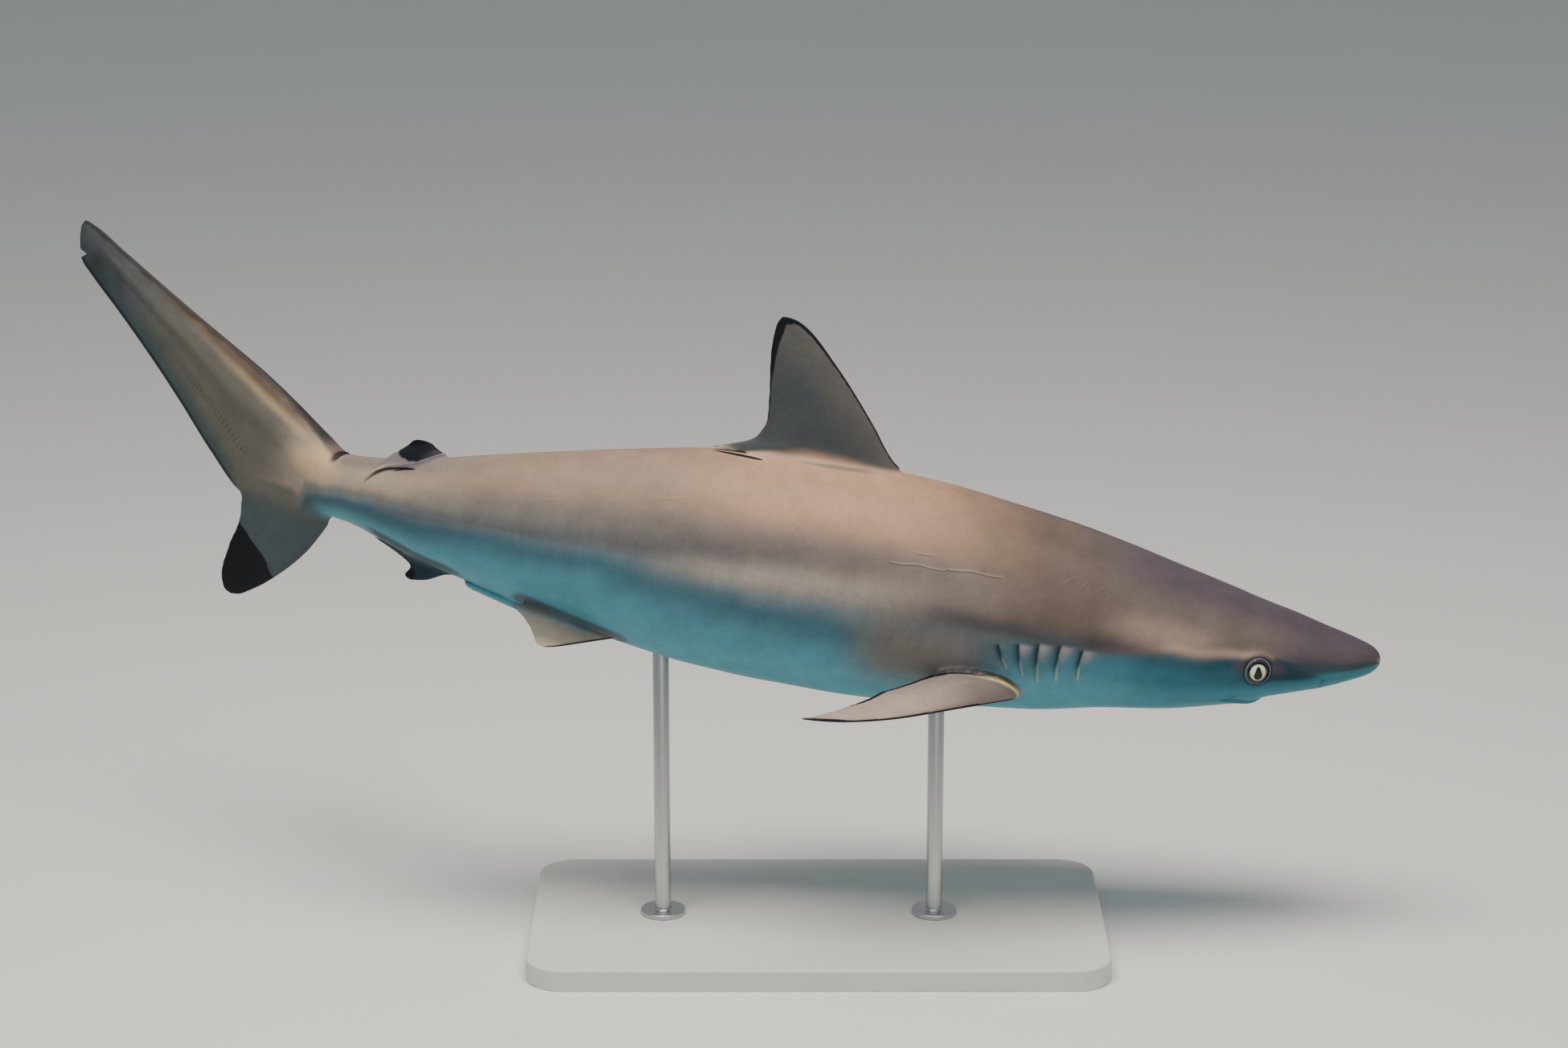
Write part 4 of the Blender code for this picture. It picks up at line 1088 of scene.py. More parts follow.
# %% Eye rims, slits and gills
def paint_eye_rims(paint):
    for hand in HANDS.values():
        centre = flank_point(EYE_STATION, EYE_HEIGHT, hand)
        away = np.linalg.norm(straight - centre, axis=-1) / MM
        rise = (straight[:, 2] - centre[2]) / MM
        above = ramp(rise, -3, 7)
        # painted highlight over the brow
        paint.lay(CHEEK_CREAM_AND_HIGHLIGHT, 0.30 * bump(away - 14.5, 2.4) * ramp(rise, 7, 13))
        beside = window(away, 10, 12, 17, 27) * bump(rise - 4.0, 5.5)
        paint.lay(EYE_SHADOW, 0.95 * beside)
        paint.lay(LID, 0.85 * (1 - ramp(away, 10.8, 11.6)) * above)
        # painted shade on the lower lid
        paint.lay(TEAL_SHADE, 0.85 * (1 - ramp(away, 10.8, 11.6)) * (1 - above))
        paint.lay(EYE_RIM, 0.80 * bump(away - 10.1, 0.65))
        # dark painted shade in the crease round the lid and in the gap round the eyeball
        paint.lay(BLACK_AND_SHADE, 0.80 * bump(away - 11.4, 0.6))
        paint.lay(BLACK_AND_SHADE, 0.9 * bump(away - 8.7, 0.7))


GAP_SHADOW_HALF_MM = 1.5


def paint_gap_shadows(paint):
    """Painted shadow in the gap along the free rear margins, and a pale edge beside it on the dorsal fins.
    """
    for name, rise, pale in (("second_dorsal_fin", -1.0, 0.5), ("pectoral_fin_left", 1.0, 0.0),
                             ("pectoral_fin_right", 1.0, 0.0)):
        path = free_margin(name)
        gap = [point + np.array([0.0, -0.4, rise]) * MM for point in path]
        away, passed = near_path(straight, gap)
        from_margin = near_path(straight, path)[0]
        paint.lay(CREAM_EDGE_AND_HIGHLIGHT, pale * bump(from_margin, 1.6) * (into_fin[name] > 0))
        # painted shadow in the gap under the free margin
        dark = bump(away, GAP_SHADOW_HALF_MM) * np.maximum(away < from_margin, into_fin[name] < 0)
        paint.lay(BLACK_AND_SHADE, 0.95 * dark * (1 - 0.4 * ramp(passed, 0.8, 1.0)))
    under = (latitude - path_height(station, DORSAL_GAP_SHADOW)) * 1.3
    along = window(station, 0.4248, 0.428, 0.452, 0.4575) * (height > 0.055)
    paint.lay(CREAM_EDGE_AND_HIGHLIGHT, 0.40 * along * bump(under - 3.0, 1.8))


def paint_gills(paint):
    # painted light at each slit: a highlight on the flap ahead of it and on its lower edge, painted shade
    # behind it and dark painted shade in the slit
    for slit in GILL_SLITS:
        t, behind = slit_measures(slit, station, height)
        along = window(t, -0.08, 0.05, 0.95, 1.08) * (np.abs(side) > GILL_SIDE)
        flap = ramp(behind, -15 + 14 * t, -4 + 6 * t) * (1 - ramp(behind, -0.9, 0.0))
        paint.lay(GILL_FLAP_HIGHLIGHT, 0.75 * along * flap * (1 - ramp(t, 0.10, 0.62)) * (slit[0] < LAST_SLIT))
        paint.lay(CREAM_EDGE_AND_HIGHLIGHT, 0.55 * along * bump(behind + 0.5, 0.7) * ramp(t, 0.40, 0.70))
        paint.lay(TEAL_SHADE, 0.5 * along * bump(behind - 2.0, 3.0) * (1 - ramp(t, 0.45, 0.9)))
        paint.lay(BLACK_AND_SHADE, along * bump(behind - 0.7, 0.75) * (0.80 - 0.55 * ramp(t, 0.40, 0.70)))


# %% Tail and fins
def paint_tail(paint):
    from_edge = 0.72 * in_mm(height - here.bottom)
    blade = ramp(station + 0.0006 * (from_edge - 25), 0.735, 0.800)
    blade = np.maximum(blade, ramp(station, 0.742, 0.760) * ramp(-height, 0.016, 0.026))
    from_top = in_mm(here.top - height)
    ridge = in_mm(path_height(station, TAIL_RIDGE))
    mottle = 0.5 + 0.5 * waves(straight, 9, 2.0)
    cloud = 0.5 + 0.5 * waves(straight, 26, 5.0)
    paint.lay(TAIL_WEB, blade)
    brown = (1 - ramp(from_top - ridge, -3.0, 4.0)) * ramp(station, 0.735, 0.76)
    paint.lay(TAIL_BROWN, brown * (0.65 + 0.35 * mottle))
    # painted highlight along the backbone's ridge on the upper lobe
    light = bump(from_top - ridge - 2.5, 4.2) * window(station, 0.715, 0.73, 0.80, 0.88)
    paint.lay(TAIL_HIGHLIGHT, 0.42 * light)
    # painted highlight on the base of the tail, which faces the light
    centre_mm = in_mm(np.hypot((station - 0.736) * 0.55, (height - 0.004) * 1.15))
    paint.lay(TAIL_HIGHLIGHT, 0.80 * (1 - ramp(centre_mm, 4, 22)))
    pit_mm = in_mm(np.hypot(station - PIT_STATION, (here.top - height) * 0.60))
    paint.lay(BLACK_AND_SHADE, 0.97 * (1 - ramp(pit_mm, 2.2, 5.2)))
    front_edge = (1 - ramp(from_top, 1.0, 4.0)) * ramp(station, 0.7190, 0.7230)
    paint.lay(BLACK_AND_SHADE, 0.60 * front_edge * (1 - ramp(station, 0.735, 0.775)))
    outer = ramp(station, 0.86, 0.95)
    paint.lay(FIN_DARK_AND_SHADE, (0.10 + 0.85 * outer) * ramp(station, 0.80, 0.84) * (0.7 + 0.3 * cloud))
    paint.lay(SHOULDER_GREY_AND_SHADE, 0.60 * outer)
    paint.lay(BLACK_AND_SHADE, 0.50 * outer * ramp(mottle * cloud, 0.15, 0.55))
    past_lobe = ramp(station, 0.806, 0.830)
    paint.lay(LOBE_DARK, 0.95 * past_lobe * (1 - ramp(from_edge, 4, 22)))
    paint.lay(BLACK_AND_SHADE, 0.45 * ramp(station, 0.915, 0.955) * (0.6 + 0.4 * cloud))
    paint.lay(BLACK_AND_SHADE, 0.80 * past_lobe * (1 - ramp(from_edge, 1.5, 5.0)))
    paint.lay(BLACK_AND_SHADE, 0.75 * ramp(station, 0.727, 0.74) * (1 - ramp(from_top, 0.8, 3.0 + 3 * mottle)))


def root_bulge(back):
    """How many mm of the pectoral's root, above, are painted dark as shade, to look like the body's side."""
    return np.interp(back, (0.0, 0.012, 0.028, 0.060, 0.085, 0.11), (0.0, 2.0, 3.8, 4.2, 3.0, 0.0))


def paint_fins(paint):
    # painted highlight on the flare of the first dorsal fin's base
    dorsal_base = [np.array(point) * TOTAL_LENGTH for point in ((0.335, 0, 0.081), (0.43, 0, 0.074))]
    beside = bump(near_path(straight, dorsal_base)[0], 22)
    paint.lay(STEM_CREAM_AND_HIGHLIGHT, 0.25 * beside * window(station, 0.325, 0.345, 0.43, 0.45))
    fold = window(station, 0.34, 0.38, 0.395, 0.415)
    first = fin_amount("first_dorsal_fin", -1, 9) * (1 - fold) + fin_amount("first_dorsal_fin", 2, 13) * fold
    paint.lay(FIN_DARK_AND_SHADE, first)
    front = 1 - ramp(station - 0.9 * (height - 0.0776), 0.328, 0.368)
    paint.lay(FIN_BROWN, first * np.maximum(0.85 * front, 0.6 * ramp(height, 0.12, 0.155)))
    # painted shade in the crease where the first dorsal fin meets the back
    crease = window(station, 0.345, 0.36, 0.385, 0.41)
    paint.lay(FIN_DARK_AND_SHADE, 0.65 * crease * bump(into_fin["first_dorsal_fin"] + 0.5, 1.6))
    paint.lay(FIN_MARGIN, fin_amount("second_dorsal_fin", -1, 1))
    # painted shade: the anal fin and the body over it
    from_anal = near_path(straight, free_margin("anal_fin"))[0]
    band = 1 - ramp(latitude - path_height(station, ANAL_SHADE_BAND), -2, 6)
    band = band * window(station, 0.596, 0.612, 0.666, 0.680)
    paint.lay(ANAL_BAND_SHADE, 0.92 * band * (height < here.level))
    paint.lay(ANAL_SHADE, 0.60 * (1 - ramp(from_anal, 8, 15)) * (height < here.level))
    paint.lay(ANAL_BAND_SHADE, 0.90 * fin_amount("anal_fin", -12, -2))
    paint.lay(ANAL_SHADE, fin_amount("anal_fin", -1, 4) * ramp(-height, 0.036, 0.042))
    lower = fin_amount("caudal_fin_lower", -6, 6) * ramp(-height, 0.026, 0.040)
    paint.lay(TAIL_WEB, lower)
    paint.lay(LOBE_DARK, 0.90 * lower * ramp(-height, 0.022, 0.048))
    for side_name in HANDS:
        name = "pectoral_fin_" + side_name
        back, out, thick = own_plane(name)
        amount = fin_amount(name, -1, 1)
        paint.lay(PECTORAL_UNDER, amount)
        paint.lay(PECTORAL_TOP, amount * (thick > 0))
        paint.lay(FIN_BROWN, 0.60 * amount * (thick > 0) * (1 - ramp(out, 0.012, 0.050)))
        # painted shade on the pectoral's upper root
        past_root = into_fin[name] - root_bulge(back)
        bulge_shade = (1 - ramp(past_root, -1.5, 0.5)) * fin_amount(name, -2, 0) * (thick > UPPER_SIDE)
        paint.lay(BULGE_SHADE, bulge_shade)
        # painted highlight along the pectoral's front root
        root_highlight = bump(past_root - 2.2, 2.2) * (thick > UPPER_SIDE) * (1 - ramp(back, 0.020, 0.042))
        paint.lay(PECTORAL_ROOT_HIGHLIGHT, root_highlight * (0.45 + 0.55 * bump(back - 0.010, 0.013)))
        # painted shade below that highlight
        shade = bump(past_root - 7.5, 3.5) * (thick > 0) * (1 - ramp(back, 0.02, 0.05))
        paint.lay(SHOULDER_GREY_AND_SHADE, 0.40 * shade)
        name = "pelvic_fin_" + side_name
        back, out, _ = own_plane(name)
        out_mm = in_mm(out)
        # painted shadow over the pelvic fin's root and the body above it
        root = FINS[name].plane.points(np.array([0.004, 0.064]), np.zeros(2), np.zeros(2)) * TOTAL_LENGTH
        paint.lay(SHOULDER_GREY_AND_SHADE, 0.85 * (1 - ramp(near_path(straight, root)[0], 7, 14)))
        tan = ramp(out_mm, 5, 13)
        front_root = 0.8 * (1 - ramp(back, 0.010, 0.024))
        paint.lay(PELVIC_TAN, fin_amount(name, 0, 2) * np.maximum(tan, front_root))
        rear_root = ramp(back, 0.040, 0.052) * (1 - ramp(out_mm, 6, 12))
        # painted highlight on the pelvic fin's front root and outer part
        paint.lay(STEM_CREAM_AND_HIGHLIGHT, 0.5 * fin_amount(name, 0, 2) * np.maximum(front_root, ramp(out_mm, 24, 33)))
        # painted shade over the pelvic fin's rear root
        paint.lay(SHOULDER_GREY_AND_SHADE, 0.9 * rear_root * (into_fin[name] > -3))


# %% Laying the layers on
# the skin starts as the belly, pale and painted teal for the water light
paint = Paint(len(straight), BELLY_WATER_TEAL)
paint_body(paint)
paint_tail(paint)
paint_fins(paint)
paint_gap_shadows(paint)
paint_gills(paint)
paint_eye_rims(paint)
print("painted", len(straight), "points")

# %% [markdown]
# ## The black tips
#
# The dips of black have a crisp edge that wanders by a millimetre, so they aren't mixed into the
# painted layers.  Instead each point gets its distance in millimetres inside the black, and the
# material turns that into a border with its own fine wander.  The same distance also carries
# painted shadow along the pectorals' inner margins and the inner part of their rear edges, and
# painted shade on the anal fin's margin.

# %% How far inside the black
def edge_mm(name, which):
    """Distance in mm from the fin's front edge (0) or rear edge (1), and how far out along it."""
    back, out, _ = own_plane(name)
    path = smooth_path(FINS[name].edges[which], np.linspace(0, 1, 40)) * TOTAL_LENGTH
    return near_path(np.stack([back, out], -1) * TOTAL_LENGTH, path)


# the pectoral's inner margin in its own plane: back, out.  A painted shadow runs along it, where the fin
# stands off the body.
INNER_MARGIN = ((0.046, 0.0085), (0.054, 0.0100), (0.061, 0.0112), (0.069, 0.0157),
                (0.0775, 0.0218), (0.0845, 0.0261), (0.094, 0.0300))


def black_inside():
    inside = np.full(len(straight), -20.0)

    def add(name, value):
        on_fin = into_fin[name] > 0
        inside[on_fin] = np.maximum(inside[on_fin], value[on_fin])

    rear, along = edge_mm("first_dorsal_fin", 1)
    add("first_dorsal_fin", np.interp(along, (0, 0.35, 0.6, 0.85, 1), (-1, 0.4, 1.2, 5.5, 8)) - rear)
    lead, along = edge_mm("first_dorsal_fin", 0)
    add("first_dorsal_fin", np.interp(along, (0, 0.1, 0.6, 1), (0.2, 0.9, 1.3, 3.0)) - lead)
    apex = in_mm(np.hypot((station - 0.4230) * 0.75, height - 0.1715))
    add("first_dorsal_fin", 9.0 - apex)
    add("second_dorsal_fin", (height - path_height(station, SECOND_BLACK)) * 1000)
    # the anal fin's dark margin and apex are painted shade
    rear, along = edge_mm("anal_fin", 1)
    add("anal_fin", np.interp(along, (0, 0.4, 0.75, 0.9, 1), (0.8, 0.9, 3, 9, 11)) - rear)
    inner_side = path_height(station, LOBE_BLACK) - height
    add("caudal_fin_lower", inner_side * 900 + 1.3 * waves(straight, 5, 2.0))
    for side_name in HANDS:
        name = "pectoral_fin_" + side_name
        back, out, thick = own_plane(name)
        tip = np.where(thick > 0, 0.0805, 0.0750)
        add(name, (out - tip - 0.25 * (back - 0.134)) * 1200)
        lead, along = edge_mm(name, 0)
        add(name, np.where(thick < 0.0006, 2.5 * (0.6 + 0.5 * ramp(along, 0.1, 0.5) - lead), -9.0))
        # along the inner part of the rear edge, the black is painted shadow between fin and body
        rear, along = edge_mm(name, 1)
        width = np.interp(along, (0, 0.30, 0.50, 1), (4.5, 3.5, 0.5, 0.3))
        add(name, np.where((thick > UPPER_SIDE) | (along < 0.45), width - rear, -9.0))
        # painted shadow along the inner margin
        inner = [np.array(point) * TOTAL_LENGTH for point in INNER_MARGIN]
        away, passed = near_path(np.stack([back, out], -1) * TOTAL_LENGTH, inner)
        width = np.interp(passed, (0, 0.3, 1), (1.2, 2.6, 3.0))
        add(name, np.where(thick > UPPER_SIDE, width - away, -9.0))
        lead, along = edge_mm("pelvic_fin_" + side_name, 0)
        add("pelvic_fin_" + side_name, 2.5 * (0.5 - lead))
    return inside


# %% Scratches, slits and ticks
# station and latitude of each end, then how strong: healed scratches, long ones first
SCRATCHES = ((0.262, 31.0, 0.300, 29.0, 1.0), (0.297, 28.4, 0.336, 26.6, 0.9),
             (0.306, 35.0, 0.322, 33.5, 0.5), (0.186, 40.0, 0.194, 31.0, 0.5),
             (0.193, 42.0, 0.203, 33.0, 0.45), (0.204, 43.0, 0.211, 35.0, 0.4),
             (0.214, 42.0, 0.222, 36.0, 0.45), (0.226, 39.0, 0.231, 34.0, 0.35),
             (0.118, 33.0, 0.127, 27.0, 0.35), (0.470, 44.0, 0.492, 40.0, 0.4),
             (0.395, 38.0, 0.402, 30.0, 0.3), (0.545, 36.0, 0.561, 33.0, 0.35))
LATITUDE_MM = 1.15         # about the length in mm of one degree of latitude on the flank


def scratch_marks():
    """For the nearest scratch: signed distance from its line in mm, and its strength here."""
    nearest, strength = np.full(len(straight), 50.0), np.zeros(len(straight))
    flat = np.stack([in_mm(station), latitude * LATITUDE_MM], -1)
    for s0, lat0, s1, lat1, amount in SCRATCHES:
        start = np.array([in_mm(s0), lat0 * LATITUDE_MM])
        leg = np.array([in_mm(s1), lat1 * LATITUDE_MM]) - start
        length = np.linalg.norm(leg)
        along = (flat - start) @ leg / length
        across = (flat - start) @ np.array([-leg[1], leg[0]]) / length + 0.5 * np.sin(along / 5.0)
        here_on = ramp(along, -2, 3) * (1 - ramp(along, length - 4, length + 2)) * (np.abs(across) < 5)
        nearer = here_on * amount > strength
        nearest = np.where(nearer, across, nearest)
        strength = np.where(nearer, here_on * amount, strength)
    return nearest, strength


def gap_shadow_lines():
    """Signed distance from the painted shadow in the gap under a fin, in shares of its half width."""
    lines = np.full(len(straight), 20.0)

    def add(value, where_on):
        nearer = where_on & (np.abs(value) < np.abs(lines))
        lines[nearer] = value[nearer]

    # path, mm per degree of latitude there, half width in mm
    for path, degree_mm, half in ((DORSAL_GAP_SHADOW, 1.3, 2.8), (SECOND_GAP_SHADOW, 0.38, 0.65)):
        t = (station - path[0][0]) / (path[-1][0] - path[0][0])
        taper = np.sqrt((4 * t * (1 - t)).clip(0.02, 1))
        away = (latitude - path_height(station, path)) * degree_mm
        add(away / (half * taper), (t > 0) & (t < 1) & (np.abs(away) < 12))
    # painted shadow in the gap along the pectoral's upper root
    for side_name in HANDS:
        name = "pectoral_fin_" + side_name
        back, _, thick = own_plane(name)
        taper = ramp(back, 0.018, 0.045) * (1 - 0.6 * ramp(back, 0.07, 0.10))
        past_root = into_fin[name] - root_bulge(back)
        add(past_root / (1.6 * taper + 0.05), (thick > UPPER_SIDE) & (back > 0.018) & (back < 0.12))
    return lines


def tail_ticks():
    """Millimetres along the row of ticks, and how strongly they show here."""
    row, length = tick_row()
    flat = straight * np.array([1.0, 0.0, 1.0])
    away, passed = near_path(flat, row)
    strength = bump(away, 3.2) * window(passed, 0.0, 0.1, 0.85, 1.0)
    return np.stack([passed * length, strength, 0 * away], -1)


# %% Marks at every point
black_mm = black_inside()
scratch_mm, scratch_strength = scratch_marks()
pores = (1 - ramp(station, 0.11, 0.17)) * bump(latitude + 2, 24) * (1 - ramp(black_mm, -3, 0))
streaks = window(station, 0.27, 0.34, 0.56, 0.66) * bump(latitude - 6, 20)
print("black covers", int((black_mm > 0).sum()), "points")

# %% Bending the skin into its pose
def set_points(mesh, points):
    mesh.vertices.foreach_set("co", np.ascontiguousarray(points, np.float32).ravel())
    mesh.flip_normals()
    mesh.update()


def add_values(mesh, name, values):
    """One value for every point: a number, a vector of three or a colour of four."""
    width = values.shape[1] if values.ndim == 2 else 1
    kind, field = {1: ("FLOAT", "value"), 3: ("FLOAT_VECTOR", "vector"), 4: ("FLOAT_COLOR", "color")}[width]
    attribute = mesh.attributes.new(name, kind, "POINT")
    attribute.data.foreach_set(field, np.ascontiguousarray(values, np.float32).ravel())


skin = shark.data
set_points(skin, place(straight))
add_values(skin, "straight", straight)
add_values(skin, "painted", np.concatenate([paint.colour, np.ones((len(straight), 1))], 1))
add_values(skin, "black_mm", black_mm)
add_values(skin, "scratch_mm", scratch_mm)
add_values(skin, "ticks", tail_ticks())
# painted shadows in the gaps under the fins
add_values(skin, "slit", gap_shadow_lines())
add_values(skin, "marks", np.stack([scratch_strength, pores, streaks], -1))
skin.materials.clear()
skin.polygons.foreach_set("material_index", np.zeros(len(skin.polygons), np.int32))
shade_smooth(skin)
FLESH = ("head", "trunk", "tail", "caudal_fin_upper", *fin_grids)
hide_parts(*FLESH)
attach(shark, "root")
print("skin bent into place")

# %% [markdown]
# ## Materials from nodes
#
# Every pattern is in the shark's own millimetres.  The skin's grain is that of dermal denticles,
# the tiny teeth that cover a shark: under half a millimetre each, so they show only as a silky
# grain with a soft sheen.

# %% Node helpers
class Nodes:
    """Builds a material: add makes a node, and a dict gives its inputs or what feeds them."""

    def __init__(self, name):
        self.material = bpy.data.materials.new(name)
        self.material.use_nodes = True
        self.tree = self.material.node_tree
        self.tree.nodes.clear()

    def add(self, kind, inputs=None, **settings):
        node = self.tree.nodes.new(kind)
        for key, value in settings.items():
            setattr(node, key, value)
        for key, value in (inputs or {}).items():
            if isinstance(value, bpy.types.NodeSocket):
                self.tree.links.new(value, node.inputs[key])
            elif value is not None:
                node.inputs[key].default_value = value
        return node.outputs[0] if node.outputs else None

    def attribute(self, name, output):
        return self.add("ShaderNodeAttribute", attribute_name=name).node.outputs[output]

    def own_place(self):
        """Where a point lies in its object's own frame."""
        return self.add("ShaderNodeTexCoord").node.outputs["Object"]

    def noise(self, where, scale, detail, roughness=0.5):
        return self.add("ShaderNodeTexNoise", {"Vector": where, "Scale": scale, "Detail": detail,
                                               "Roughness": roughness})

    def spread(self, value, low, high, start=0.0, end=1.0, **settings):
        """Turns a value from low to high into one from start to end, and holds it there."""
        return self.add("ShaderNodeMapRange", {"Value": value, "From Min": low, "From Max": high,
                                               "To Min": start, "To Max": end}, **settings)

    def math(self, operation, *values):
        return self.add("ShaderNodeMath", dict(enumerate(values)), operation=operation)

    def vector_math(self, operation, *values):
        return self.add("ShaderNodeVectorMath", dict(enumerate(values)), operation=operation)

    def scaled(self, vector, factor):
        return self.add("ShaderNodeVectorMath", {0: vector, "Scale": factor}, operation="SCALE")

    def length(self, vector):
        return self.vector_math("LENGTH", vector).node.outputs["Value"]

    def mixed(self, factor, first, second):
        """The first colour where the factor is 0 and the second where it is 1."""
        mix = self.add("ShaderNodeMix", {"Factor": factor, 6: first, 7: second}, data_type="RGBA")
        return mix.node.outputs[2]

    def bumped(self, height, strength, distance):
        return self.add("ShaderNodeBump", {"Height": height, "Strength": strength, "Distance": distance})

    def surface(self, shader):
        self.add("ShaderNodeOutputMaterial", {"Surface": shader})
        return self.material


def rgba(code):
    return (*to_linear(code), 1.0)


# %% Skin material
def skin_material():
    n = Nodes("resin skin, air-brushed and satin varnished")
    where = n.attribute("straight", "Vector")
    mottle = n.noise(where, 45.0, 3.0, 0.55)
    fine = n.noise(where, 260.0, 3.0, 0.6)
    grain = n.noise(where, 1500.0, 1.0)
    shade = n.spread(mottle, 0.3, 0.7, 0.90, 1.10)
    shade_fine = n.spread(fine, 0.25, 0.75, 0.93, 1.07)
    toned = n.scaled(n.attribute("painted", "Color"), n.math("MULTIPLY", shade, shade_fine))
    # healed scratches: a pale line with a darker one below it
    scratch = n.attribute("scratch_mm", "Fac")
    marks = n.add("ShaderNodeSeparateXYZ", {"Vector": n.attribute("marks", "Vector")}).node.outputs
    for offset, gain in ((0.0, 0.55), (-1.0, -0.38)):
        away = n.math("ABSOLUTE", n.math("SUBTRACT", scratch, offset))
        line = n.spread(away, 0.15, 0.65, gain, 0.0)
        toned = n.scaled(toned, n.math("MULTIPLY_ADD", line, marks["X"], 1.0))
    # pores: a dark dot about a millimetre wide in every other cell of a 7 mm pattern
    cells = n.add("ShaderNodeTexVoronoi", {"Vector": where, "Scale": 1000 / 7.0}).node.outputs
    dot = n.spread(cells["Distance"], 0.05, 0.10, 0.55, 0.0)
    chosen = n.math("GREATER_THAN", n.add("ShaderNodeSeparateColor", {"Color": cells["Color"]}), 0.55)
    dot = n.math("MULTIPLY", n.math("MULTIPLY", dot, chosen), marks["Y"])
    toned = n.scaled(toned, n.math("SUBTRACT", 1.0, dot))
    # muscle blocks: faint upright streaks some 4 mm apart along the flank
    drawn = n.vector_math("MULTIPLY", where, (250.0, 40.0, 45.0))
    streak = n.spread(n.noise(drawn, 1.0, 2.0), 0.3, 0.7, -0.045, 0.045)
    toned = n.scaled(toned, n.math("MULTIPLY_ADD", streak, marks["Z"], 1.0))
    # the rays of the tail's web end in a row of fine dark ticks
    ticks = n.add("ShaderNodeSeparateXYZ", {"Vector": n.attribute("ticks", "Vector")}).node.outputs
    tick = n.spread(n.math("PINGPONG", ticks["X"], TICK_PAINT_MM / 2), 0.2, 0.8, -0.40, 0.0)
    toned = n.scaled(toned, n.math("MULTIPLY_ADD", tick, ticks["Y"], 1.0))
    # the black tips, their border wandering by less than a millimetre, and the painted shadow in the gaps
    # under the fins
    edge = n.math("ADD", n.attribute("black_mm", "Fac"), n.spread(fine, 0.0, 1.0, -0.9, 0.9))
    dark = n.spread(edge, -0.7, 0.7, interpolation_type="SMOOTHSTEP")
    gap = n.spread(n.math("ABSOLUTE", n.attribute("slit", "Fac")), 0.6, 1.3, 1.0, 0.0)
    colour = n.mixed(n.math("MAXIMUM", dark, gap), toned, rgba("#080A14"))
    relief = n.math("MULTIPLY_ADD", grain, 0.35, n.math("MULTIPLY", fine, 0.5))
    return n.surface(n.add("ShaderNodeBsdfPrincipled", {
        "Base Color": colour, "Roughness": n.spread(mottle, 0.0, 1.0, 0.44, 0.62),
        "Normal": n.bumped(relief, 0.22, 0.0006),
        "Specular IOR Level": 0.17, "Coat Weight": 0.03, "Coat Roughness": 0.35}))


skin.materials.append(skin_material())
print("material:", skin.materials[0].name)

# %% [markdown]
# ## The eyes
#
# A taxidermist's glass eye is a shell painted on the back.  This shark has a greenish-cream iris
# with an upright pupil, pointed above and round below, and a dark rim where the iris meets the
# socket.  The eyeball is a flattened ball whose own z axis looks out of the head.

# %% Glass of the eyes
PUPIL_HALF = 0.0036        # half the pupil's width, and the radius of its round lower end
PUPIL_LOW, PUPIL_TOP = -0.0023, 0.0052
IRIS_EDGE = (0.0063, 0.0068)
DARK_RIM_EDGE = (0.0080, 0.0088)
EYE_LEAN = 9               # degrees that the pupil leans
EYE_BACK = 0.0005          # how far behind the socket's middle the eyeball sits, in body lengths


def eye_material():
    n = Nodes("glass eye, painted behind and polished")
    where = n.own_place()
    parts = n.add("ShaderNodeSeparateXYZ", {"Vector": where}).node
    across, up = parts.outputs["X"], parts.outputs["Y"]
    flat = n.add("ShaderNodeCombineXYZ", {"X": across, "Y": up})
    radius = n.length(flat)
    iris = n.mixed(n.noise(where, 700.0, 3.0), rgba("#E2E2C2"), rgba("#B4BCA4"))
    # the pupil: half its width falls away towards the pointed top
    wide = n.math("POWER", n.spread(up, PUPIL_LOW, PUPIL_TOP, 1.0, 0.0), 0.6)
    reach = n.math("ABSOLUTE", across)
    upper = n.math("SUBTRACT", reach, n.math("MULTIPLY", wide, PUPIL_HALF))
    lower = n.vector_math("ADD", flat, (0.0, -PUPIL_LOW, 0.0))
    lower = n.math("SUBTRACT", n.length(lower), PUPIL_HALF)
    below = n.math("LESS_THAN", up, PUPIL_LOW)
    pupil = n.add("ShaderNodeMix", {"Factor": below, 2: upper, 3: lower}, data_type="FLOAT")
    colour = n.mixed(n.spread(pupil, -0.00010, 0.00015, 1.0, 0.0), iris, rgba("#04060C"))
    colour = n.mixed(n.spread(radius, *IRIS_EDGE), colour, rgba("#070C14"))
    colour = n.mixed(n.spread(radius, *DARK_RIM_EDGE), colour, rgba("#2C3138"))
    return n.surface(n.add("ShaderNodeBsdfPrincipled", {
        "Base Color": colour, "Roughness": 0.12, "Specular IOR Level": 0.3,
        "Coat Weight": 0.15, "Coat Roughness": 0.03}))


# %% Where the eyes stand
def eye_matrix(hand):
    """Where an eyeball stands in the world; its y axis points up and its z axis out."""
    def skin_place(back, up):
        return Vector(place(flank_point(EYE_STATION + back, EYE_HEIGHT + up, hand)))

    forward = (skin_place(-EYE_REACH, 0) - skin_place(EYE_REACH, 0)).normalized()
    rise = skin_place(0, EYE_REACH) - skin_place(0, -EYE_REACH)
    out = forward.cross(rise).normalized() * -hand
    x_axis = forward * -hand
    turn = Matrix((x_axis, out.cross(x_axis), out)).transposed().to_4x4()
    lean = Matrix.Rotation(math.radians(-EYE_LEAN * hand), 4, "Z")
    return Matrix.Translation(skin_place(EYE_BACK, 0) - out * EYE_SUNK) @ turn @ lean


